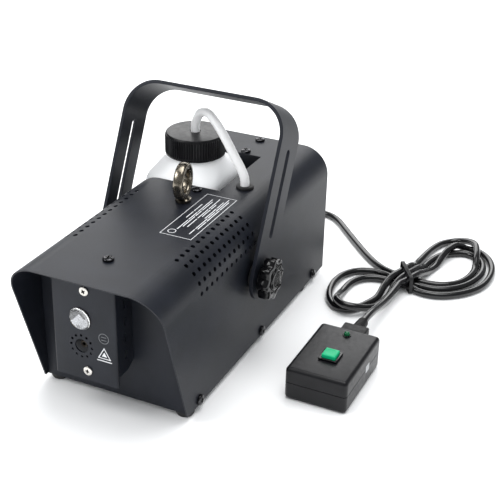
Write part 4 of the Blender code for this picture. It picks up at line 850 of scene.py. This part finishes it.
# %% Feet and eye bolt
def make_feet():
    profile = [(0.0, 0.0), (7.5, 0.0), (7.5, -2.6), (6.6, -4.5), (6.0, -5.0), (2.6, -5.0),
               (2.6, -3.6), (0.0, -3.6)]
    for end, y in (("front", FRONT + 11.0), ("rear", REAR - 45.0)):
        for word, side in (("left", -1), ("right", 1)):
            foot = turned(profile, move(side * (BODY_W / 2 - 8.0), y, 0.0), 40)
            finished(foot, f"foot_{end}_{word}_look", "black_rubber", f"foot_{end}_{word}")


def make_eye_bolt():
    """A forged ring, wider along its axis than it is thick, on a collar."""
    def flat(value):
        return value * (1.24 - 0.24 * value * value)

    base = BODY_H + GAP
    centre = base + 2.0 + EYE_RING_R + EYE_WIRE_R
    section = [(EYE_RING_R + EYE_WIRE_R * flat(cos(tau * i / 24)),
                EYE_BAND / 2 * flat(sin(tau * i / 24))) for i in range(24)]
    place = move(0.0, EYE_Y, centre) @ Matrix.Rotation(EYE_TURN, 4, "Z")
    ring = turned(section, place @ TO_RIGHT, 72, True)
    collar_r = 2.2 * EYE_WIRE_R
    collar = turned([(0.0, 5.2), (3.9, 5.0), (4.6, 4.2), (5.6, 3.0), (collar_r, 2.5),
                     (collar_r, 0.3), (collar_r - 0.3, 0.0), (2.9, 0.0), (2.9, -12.0), (0.0, -12.0)],
                    move(0.0, EYE_Y, base), 48)
    return finished(join(ring, collar), "eye_bolt_look", "zinc", "eye_bolt",
                    material=M["nickel"], sharp=45)


make_feet()
make_eye_bolt()
print("feet and eye bolt made")

# %% [markdown]
# ## Yoke and knobs


# %% Yoke
def u_path(half_width, height, radius, steps=20):
    side = [(half_width, -YOKE_STRAP)]
    side += [(half_width - radius + radius * cos(a), height - radius + radius * sin(a))
             for a in (pi / 2 * i / steps for i in range(steps + 1))]
    return side + [(-x, z) for x, z in reversed(side)]


def make_yoke():
    outer = u_path(YOKE_HALF_W, YOKE_RISE, YOKE_BEND_R)
    inner = u_path(YOKE_HALF_W - YOKE_T, YOKE_RISE - YOKE_T, YOKE_BEND_R - YOKE_T)
    half = YOKE_STRAP / 2
    strap = prism(outer + inner[::-1], "Y", -half, half)
    round_end = [(half * cos(a), half * sin(a)) for a in (pi + pi * i / 32 for i in range(33))]
    arm_shape = prism([*round_end, (half + 1, 0.0), (half + 1, 2 * YOKE_RISE),
                       (-half - 1, 2 * YOKE_RISE), (-half - 1, 0.0)], "X", -BODY_W, BODY_W)
    slot = prism(rectangle(0.0, 68.0, 6.4, 73.0, 3.19, 12), "X", -BODY_W, BODY_W)
    hole = prism(circle(0.0, 0.0, 3.5), "X", -BODY_W, BODY_W)
    yoke = cut(combined(strap, "INTERSECT", arm_shape), slot, hole)
    placed(yoke, move(0.0, PIVOT_Y, PIVOT_Z) @ Matrix.Rotation(-YOKE_TILT, 4, "X"))
    return finished(yoke, "yoke_look", "powder_coat", "yoke_handle", "yoke", edge=0.3)


make_yoke()
print("yoke made")


# %% Knobs and spacers
def star_ring(radius, z, scale=1.0, lobes=8, depth=3.0):
    points = []
    for i in range(96):
        angle = tau * i / 96
        reach = (radius - depth * (1 - cos(lobes * angle)) / 2) * scale
        points.append((reach * cos(angle), reach * sin(angle), z))
    return points


def make_knobs():
    star_rows = ((0.90, 2.3), (0.97, 2.6), (1.0, 3.4), (1.0, 10.4), (0.975, 11.4), (0.91, 12.0),
                 (0.70, 12.0), (0.66, 11.4), (0.54, 11.3))
    stud_end = -(YOKE_HALF_W - IN_W) - 10.0
    for word, side, turn in (("left", -1, TO_LEFT), ("right", 1, TO_RIGHT)):
        place = move(side * YOKE_HALF_W, PIVOT_Y, PIVOT_Z) @ turn
        star = loft([star_ring(KNOB_R, z, scale) for scale, z in star_rows])
        hub = turned([(0.0, 13.0), (7.6, 13.0), (8.4, 12.7), (8.9, 12.0), (8.9, 2.8), (9.8, GAP),
                      (3.0, GAP), (3.0, stud_end), (0.0, stud_end)], steps=64)
        groove = turned([(5.0, 12.5), (5.0, 15.0), (5.6, 15.0), (5.6, 12.5)], steps=40, closed=True)
        knob = placed(cut(join(star, hub), groove), place)
        finished(knob, f"knob_{word}", "gloss_black", f"yoke_knob_{word}", f"knob_{word}", sharp=40)
        gap_w = YOKE_HALF_W - YOKE_T - BODY_W / 2
        washer = turned([(3.5, GAP), (10.4, GAP), (11.0, GAP + 0.6), (11.0, gap_w - GAP - 0.6),
                         (10.4, gap_w - GAP), (3.5, gap_w - GAP)],
                        move(side * BODY_W / 2, PIVOT_Y, PIVOT_Z) @ turn, 48, True)
        finished(washer, f"spacer_{word}", "black_rubber", f"yoke_spacer_{word}")


make_knobs()
print("knobs made")

# %% [markdown]
# ## Bottle, cap and hose


# %% Bottle
def bottle_ring(width, length, radius, z):
    return [(BOTTLE_X + x, BOTTLE_Y + y, z) for x, y in rectangle(0, 0, width, length, radius, 10)]


def make_bottle():
    neck = NECK_R * 2
    rows = [
        (BOTTLE_W - 12, BOTTLE_L - 12, 9.0, 2.4), (BOTTLE_W - 8, BOTTLE_L - 8, 10.0, 1.5),
        (BOTTLE_W - 3, BOTTLE_L - 3, 12.4, 2.9), (BOTTLE_W, BOTTLE_L, 14.0, 5.5),
        (BOTTLE_W, BOTTLE_L, 14.0, SHOULDER_Z - 1.5),
        (BOTTLE_W * 0.992, BOTTLE_L * 0.992, 14.6, SHOULDER_Z + 1.5),
        (BOTTLE_W * 0.96, BOTTLE_L * 0.96, 15.6, SHOULDER_Z + 5.0),
        (BOTTLE_W * 0.90, BOTTLE_L * 0.885, 17.5, SHOULDER_Z + 8.2),
        (neck * 1.235, neck * 1.245, 25.0, NECK_Z - 4.4),
        (neck * 1.17, neck * 1.17, 25.6, NECK_Z - 2.6), (neck * 1.14, neck * 1.14, 25.0, NECK_Z - 1.0),
        (neck * 1.14, neck * 1.14, 25.0, NECK_Z), (neck, neck, 21.98, NECK_Z + 0.2),
        (neck, neck, 21.98, NECK_Z + 16.5), (neck - 2.4, neck - 2.4, 20.7, NECK_Z + 16.5),
        (neck - 2.4, neck - 2.4, 20.7, NECK_Z - 1.5), (neck * 1.06, neck * 1.06, 23.0, NECK_Z - 4.2),
        (BOTTLE_W * 0.86, BOTTLE_L * 0.85, 16.5, SHOULDER_Z + 7.0),
        (BOTTLE_W * 0.93, BOTTLE_L * 0.93, 14.6, SHOULDER_Z + 3.6),
        (BOTTLE_W - 2.4, BOTTLE_L - 2.4, 12.8, SHOULDER_Z - 1.5),
        (BOTTLE_W - 2.4, BOTTLE_L - 2.4, 12.8, 6.0), (BOTTLE_W - 14, BOTTLE_L - 14, 8.0, 3.8)]
    bottle = loft([bottle_ring(*row) for row in rows])
    return finished(bottle, "bottle", "bottle_hdpe", "fluid_bottle", sharp=50)


def make_cap():
    """A screw cap with a fine-ribbed skirt and a smooth top."""
    base, count, ribs = NECK_Z + 2 * GAP, 288, 72

    def ribbed(radius, z, depth):
        ring = []
        for angle in (tau * i / count for i in range(count)):
            reach = radius - depth * (0.5 - 0.5 * cos(ribs * angle))
            ring.append((BOTTLE_X + reach * cos(angle), BOTTLE_Y + reach * sin(angle), base + z))
        return ring

    rows = [(CAP_R - 2.0, 0.0, 0.0), (CAP_R - 0.9, 0.0, 0.0), (CAP_R - 0.3, 0.3, 0.0),
            (CAP_R - 0.1, 1.0, 0.0), (CAP_R - 0.1, 1.8, 0.0), (CAP_R, 2.2, 0.9),
            (CAP_R, 16.8, 0.9), (CAP_R - 0.3, 17.6, 0.3), (CAP_R - 0.8, 18.6, 0.0),
            (CAP_R - 1.6, 19.3, 0.0), (CAP_R - 2.6, 19.5, 0.0), (4.6, 19.5, 0.0),
            (4.4, 19.3, 0.0), (4.4, 17.5, 0.0), (CAP_R - 2.0, 17.5, 0.0), (CAP_R - 2.0, 0.0, 0.0)]
    cap = loft([ribbed(*row) for row in rows], False, False)
    return finished(cap, "bottle_cap_look", "black_abs", "bottle_cap", "cap", sharp=28)


make_bottle()
make_cap()
print("bottle and cap made")

# %% Hose
TUBE_POINTS = [
    (BOTTLE_X, BOTTLE_Y, 12), (BOTTLE_X, BOTTLE_Y, 60), (BOTTLE_X, BOTTLE_Y, 110),
    (BOTTLE_X, BOTTLE_Y, 152), (BOTTLE_X + 1.5, BOTTLE_Y - 0.6, 161.5),
    (BOTTLE_X + 6.5, BOTTLE_Y - 2.7, 169.5), (BOTTLE_X + 15.0, BOTTLE_Y - 6.2, 172.2),
    (-4.0, 41.0, 168.5), (4.5, 37.5, 161.5), (12.5, 34.2, 153.0), (20.5, 30.9, 143.7),
    (27.2, 28.2, 136.5), (GROMMET_X - 0.8, GROMMET_Y + 0.3, 129.0), (GROMMET_X, GROMMET_Y, 122.5),
    (GROMMET_X, GROMMET_Y, 115.0), (GROMMET_X, GROMMET_Y, 103.0), (GROMMET_X, GROMMET_Y, 95.3),
]


def tube_mesh(points, radius, count=24):
    """A round tube along points, made of rings that keep their turn from one to the next."""
    rings, side = [], None
    for i, point in enumerate(points):
        before, after = points[max(i - 1, 0)], points[min(i + 1, len(points) - 1)]
        along = (after - before).normalized()
        start = Vector((1, 0, 0)) if abs(along.x) < 0.9 else Vector((0, 1, 0))
        side = start if side is None else side
        side = (side - along * side.dot(along)).normalized()
        other = along.cross(side)
        rings.append([point + radius * (cos(tau * k / count) * side + sin(tau * k / count) * other)
                      for k in range(count)])
    return loft(rings)


def make_hose():
    finished(tube_mesh(smooth_route(TUBE_POINTS, 3.0), TUBE_R), "hose", "silicone", "fluid_tube")
    neck, inner = GROMMET_NECK_R - GAP, TUBE_R + 0.1
    above, below = BODY_H + GAP, BODY_H - SHEET - GAP
    grommet = turned([(inner, above + 1.8), (inner + 0.5, above + 2.2), (GROMMET_R - 1.6, above + 2.2),
                      (GROMMET_R - 0.5, above + 1.7), (GROMMET_R, above + 0.8), (GROMMET_R, above),
                      (neck, above), (neck, below), (GROMMET_R, below), (GROMMET_R, below - 1.5),
                      (inner, below - 1.5)], move(GROMMET_X, GROMMET_Y, 0.0), 48, True)
    finished(grommet, "grommet", "black_rubber", "tube_grommet")


make_hose()
print("hose made")

# %% [markdown]
# ## Wired remote


# %% Remote case
def make_remote():
    x0, y0 = REMOTE_X - REMOTE_W / 2, REMOTE_Y - REMOTE_L / 2
    x1, y1 = REMOTE_X + REMOTE_W / 2, REMOTE_Y + REMOTE_L / 2
    inside = ((x0 + 2, y0 + 2), (x1 - 2, y1 - 2))
    socket = box((KEY_X - 10.3, y1 - 4, REMOTE_PLUG_Z - 5.3),
                 (KEY_X + 10.3, y1 + 2, REMOTE_PLUG_Z + 5.3))
    key_hole = box((KEY_X - 6.6, BUTTON_Y - 6.6, PARTING), (KEY_X + 6.6, BUTTON_Y + 6.6, 30.0))
    led_hole = rod((KEY_X, LED_Y, PARTING), (KEY_X, LED_Y, 30.0), 2.8)
    jobs = (
        ("upper", PARTING + 0.15, 30.0, FLOOR, REMOTE_TOP - 2, (key_hole, led_hole)),
        ("lower", -20.0, PARTING - 0.15, FLOOR + 2, 30.0, ()))
    for word, low, high, hollow_low, hollow_high, holes in jobs:
        block = box((x0, y0, FLOOR), (x1, y1, REMOTE_TOP), 3.5, 8)
        keep = box((x0 - 1, y0 - 1, low), (x1 + 1, y1 + 1, high))
        hollow = box((*inside[0], hollow_low), (*inside[1], hollow_high))
        shell = cut(combined(block, "INTERSECT", keep), hollow, socket.copy(), *holes)
        if word == "lower":
            wells = [rod((x, y, FLOOR - 2), (x, y, FLOOR + 1.2), 2.6, segments=24)
                     for x in (x0 + 7, x1 - 7) for y in (y0 + 7, y1 - 7)]
            shell = cut(shell, gathered(wells))
        finished(shell, f"remote_{word}", "black_abs", f"remote_{word}_shell", edge=0.25, sharp=25)
    socket.free()


def make_remote_controls():
    top = REMOTE_TOP
    rim = box((KEY_X - 7.8, BUTTON_Y - 7.8, top + GAP), (KEY_X + 7.8, BUTTON_Y + 7.8, top + 1.8), 0.4)
    neck = box((KEY_X - 6.3, BUTTON_Y - 6.3, top - 6), (KEY_X + 6.3, BUTTON_Y + 6.3, top + 0.6))
    bore = box((KEY_X - 6.1, BUTTON_Y - 6.1, top - 10), (KEY_X + 6.1, BUTTON_Y + 6.1, top + 5))
    finished(cut(join(rim, neck), bore), "remote_bezel", "gloss_black", "remote_button_frame",
             edge=0.1)
    button = box((KEY_X - 5.8, BUTTON_Y - 5.8, top - 5), (KEY_X + 5.8, BUTTON_Y + 5.8, top + 4.6),
                 0.9, 4)
    dish = turned([(0.0, 0.0), (4.0, 0.25), (4.6, 1.2), (0.0, 1.2)],
                  move(KEY_X, BUTTON_Y, top + 4.25), 40)
    finished(cut(button, dish), "remote_key", "green_key", "remote_button", "button", sharp=50)
    dome = [(2.5 * sin(a), 1 + 2.5 * cos(a)) for a in (pi / 2 * i / 10 for i in range(11))]
    light = turned([*dome, (2.5, -4.0), (0.0, -4.0)], move(KEY_X, LED_Y, top), 32)
    finished(light, "remote_light", "green_led", "remote_led")
    rim = turned([(2.7, 0.02), (2.7, 0.5), (2.9, 0.75), (3.3, 0.75), (3.6, 0.5), (3.6, 0.02)],
                 move(KEY_X, LED_Y, top), 32, True)
    finished(rim, "remote_light_rim", None, material=M["gloss_black"])
    side = REMOTE_X + REMOTE_W / 2
    tag = prism(rectangle(REMOTE_Y + 9.0, REMOTE_TOP - 13.0, 8.0, 6.5, 1.0), "X", side + 0.01,
                side + 0.08)
    finished(tag, "remote_tag", None, material=M["paper"])


make_remote()
make_remote_controls()
print("remote made")


# %% Plugs
def make_plug(name, place, replaces):
    """A flat plug with a ribbed boot; its shoulder is at z = 0 and its cord leaves along +Z."""
    half_w, half_h = (PLUG_W - 5 - 2 * GAP) / 2, (PLUG_H - 5 - 2 * GAP) / 2
    tongue = box((-half_w, -half_h, -8), (half_w, half_h, 4))
    body = box((-PLUG_W / 2, -PLUG_H / 2, GAP), (PLUG_W / 2, PLUG_H / 2, PLUG_L), 1.6, 5)
    grooves = [box((side * PLUG_W / 2 - 0.6, -3.6, z), (side * PLUG_W / 2 + 0.6, 3.6, z + 1.0))
               for side in (-1, 1) for z in (4.0 + 2.2 * i for i in range(4))]
    profile = [(0.0, PLUG_L - 2)]
    slope = (5.9 - (CORD_R + 1.3)) / BOOT_L
    for i in range(6):
        z = PLUG_L - 2 + i * 2.8
        reach = 5.9 - slope * (z - PLUG_L + 2)
        profile += [(reach, z), (reach - slope * 1.7, z + 1.7), (reach - 0.9, z + 1.8),
                    (reach - 0.9, z + 2.7)]
    profile += [(CORD_R + 1.2, PLUG_L + BOOT_L - 0.2), (CORD_R + 0.9, PLUG_L + BOOT_L),
                (0.0, PLUG_L + BOOT_L)]
    boot = turned(profile, steps=40)
    plug = cut(join(body, tongue, boot), gathered(grooves))
    return finished(placed(plug, place), name, "black_rubber", replaces, edge=0.12, sharp=30)


rear_place = move(SOCKET_X, BACK_Y + 2.0, SOCKET_Z) @ TO_REAR
remote_place = move(KEY_X, REMOTE_Y + REMOTE_L / 2, REMOTE_PLUG_Z) @ TO_REAR
plugs = [make_plug("rear_plug_look", rear_place, "rear_plug"),
         make_plug("remote_plug_look", remote_place, "remote_plug")]
print("plugs made")


# %% Tie
def make_tie():
    """A strap round the crossing, with a row of fine teeth on top."""
    half_w, half_h, wall, half = 16.5, 7.8, 1.0, 1.6
    middle = FLOOR + wall + half_h
    band = cut(prism(rectangle(0, 0, 2 * (half_w + wall), 2 * (half_h + wall), 2.6), "X", -half, half),
               prism(rectangle(0, 0, 2 * half_w, 2 * half_h, 1.8), "X", -2 * half, 2 * half))
    teeth = [box((-half * 0.6, v, half_h + wall - 0.1), (half * 0.6, v + 0.5, half_h + wall + 0.12))
             for v in (-11.0 + 1.1 * i for i in range(14))]
    strap = join(band, gathered(teeth))
    placed(strap, move(TIE_AT.x, TIE_AT.y, middle) @ Matrix.Rotation(TIE_TURN, 4, "Z"))
    return finished(strap, "cord_tie", "black_rubber", "cable_tie", edge=0.1)


tie = make_tie()

# %% [markdown]
# ## Rear fittings


# %% Mains inlet, switch, fuse and socket
def make_inlet():
    x, z, w, h, out = 36.0, 34.0, 27.0, 20.0, BACK_Y + 2.0
    body = box((x - w / 2, 112.0, z - h / 2), (x + w / 2, BACK_Y + 0.45, z + h / 2))
    flange = prism(rectangle(x, z, w + 8, h + 6, 3.0), "Y", BACK_Y + GAP, out)
    cavity = prism(rectangle(x, z, w - 3.4, h - 4, 3.0), "Y", 117.0, out + 1)
    pins = [box((x + dx - 1, 115.0, z + dz - 2), (x + dx + 1, 129.0, z + dz + 2), 0.4, 2)
            for dx, dz in ((-7, -1.5), (0, 2), (7, -1.5))]
    finished(cut(join(body, flange), cavity), "inlet", "black_abs", "mains_inlet", edge=0.3)
    for word, pin in zip(("a", "b", "c"), pins):
        finished(pin, f"inlet_pin_{word}", "brass")


def make_switch():
    x, z, w, h = 36.0, 76.0, 13.0, 19.0
    body = box((x - w / 2, BACK_Y - 18, z - h / 2), (x + w / 2, BACK_Y + 0.45, z + h / 2))
    flange = prism(rectangle(x, z, w + 2, h + 2, 1.0), "Y", BACK_Y + GAP, BACK_Y + 1.8)
    pocket = box((x - w / 2 + 0.9, BACK_Y - 9, z - h / 2 + 0.9),
                 (x + w / 2 - 0.9, BACK_Y + 4, z + h / 2 - 0.9))
    finished(cut(join(body, flange), pocket), "switch_case", "black_abs", "power_switch", edge=0.2)
    half_w, half_h, lean, pivot_y = w / 2 - 1.4, h / 2 - 2.0, radians(11), BACK_Y - 1.0
    face = [(2.2 + 2.2 * t * t, half_h * t) for t in (1 - 2 * i / 12 for i in range(13))]
    shape = [*face, (0.0, -half_h), (-4.0, -half_h * 0.6), (-4.0, half_h * 0.6), (0.0, half_h)]
    leaned = [(pivot_y + u * cos(lean) - v * sin(lean), z + u * sin(lean) + v * cos(lean))
              for u, v in shape]
    finished(prism(leaned, "X", x - half_w, x + half_w), "rocker", "gloss_black", "switch_rocker",
             "rocker", edge=0.3)


def make_fuse():
    place, bore = move(4.0, BACK_Y, 78.0) @ TO_REAR, 4.6
    holder = turned([(0.0, -26.0), (6.0, -26.0), (6.0, GAP), (8.0, GAP), (8.0, 1.5), (7.5, 2.0),
                     (bore, 2.0), (bore, -18.0), (0.0, -18.0)], place)
    finished(holder, "fuse_case", "black_abs", "fuse_holder")
    cap = turned([(0.0, -12.0), (4.1, -12.0), (4.1, 2.5), (6.6, 2.5), (6.6, 3.4), (6.1, 8.6),
                  (5.7, 9.0), (0.0, 9.0)], place)
    slot = box((-8.0, BACK_Y + 7.6, 77.2), (16.0, BACK_Y + 12.0, 78.8))
    finished(cut(cap, slot), "fuse_top", "black_abs", "fuse_cap", "fuse_cap", edge=0.15)


def make_sockets():
    for name, replaces, place, flange in (
            ("rear_socket", "remote_socket", move(SOCKET_X, BACK_Y, SOCKET_Z) @ TO_REAR, 2.0),
            ("remote_socket_look", "remote_inlet", remote_place, 0.0)):
        body = box((-10.0, -5.0, -14.0), (10.0, 5.0, flange))
        if flange > 0:
            body = join(body, prism(rectangle(0, 0, 24.0, 14.0, 1.5), "Z", GAP, flange))
        hole = box((-8.5, -3.5, -9.0), (8.5, 3.5, flange + 1.0))
        finished(placed(cut(body, hole), place), name, "black_abs", replaces, edge=0.2)


make_inlet()
make_switch()
make_fuse()
make_sockets()
print("rear fittings made")

# %% [markdown]
# ## Mechanical parts that show as they are
# The tray, the rear panel, the bottle's bay and the inner parts keep their own shape; they get
# their materials and softened edges.

# %% Mechanical parts
SLOTS = {
    "powder_coat": ("base_tray", "rear_panel", "bottle_bay"),
    "zinc": ("pump_bracket", "heater_bracket"),
    "aluminium": ("heater_block",),
    "copper": ("outlet_pipe",),
    "black_abs": ("pump", "thermostat"),
    "board_green": ("led_board", "control_board"),
}
for slot_name, names in SLOTS.items():
    for name in names:
        obj = bpy.data.objects[name]
        obj.data.materials.clear()
        obj.data.materials.append(M[slot_name])
        soften(obj, 0.2)
print("parts shown as they are:", sum(len(names) for names in SLOTS.values()))

# %% [markdown]
# ## Floor

# %% Floor
floor_bm = bmesh.new()
bmesh.ops.create_grid(floor_bm, x_segments=1, y_segments=1, size=6.0)
placed(floor_bm, move(0.0, 0.0, FLOOR * MM))
floor_mesh = bpy.data.meshes.new("floor")
floor_bm.to_mesh(floor_mesh)
floor_bm.free()
floor_material, floor_tree, floor_place = empty_material("pale_floor")
surface(floor_tree, Base_Color=linear("#f6f6f6"), Roughness=0.8,
        Specular_IOR_Level=spread(floor_tree, grain(floor_tree, floor_place, 30.0), 0.1, 0.14))
floor_mesh.materials.append(floor_material)
floor = bpy.data.objects.new("floor", floor_mesh)
scene.collection.objects.link(floor)
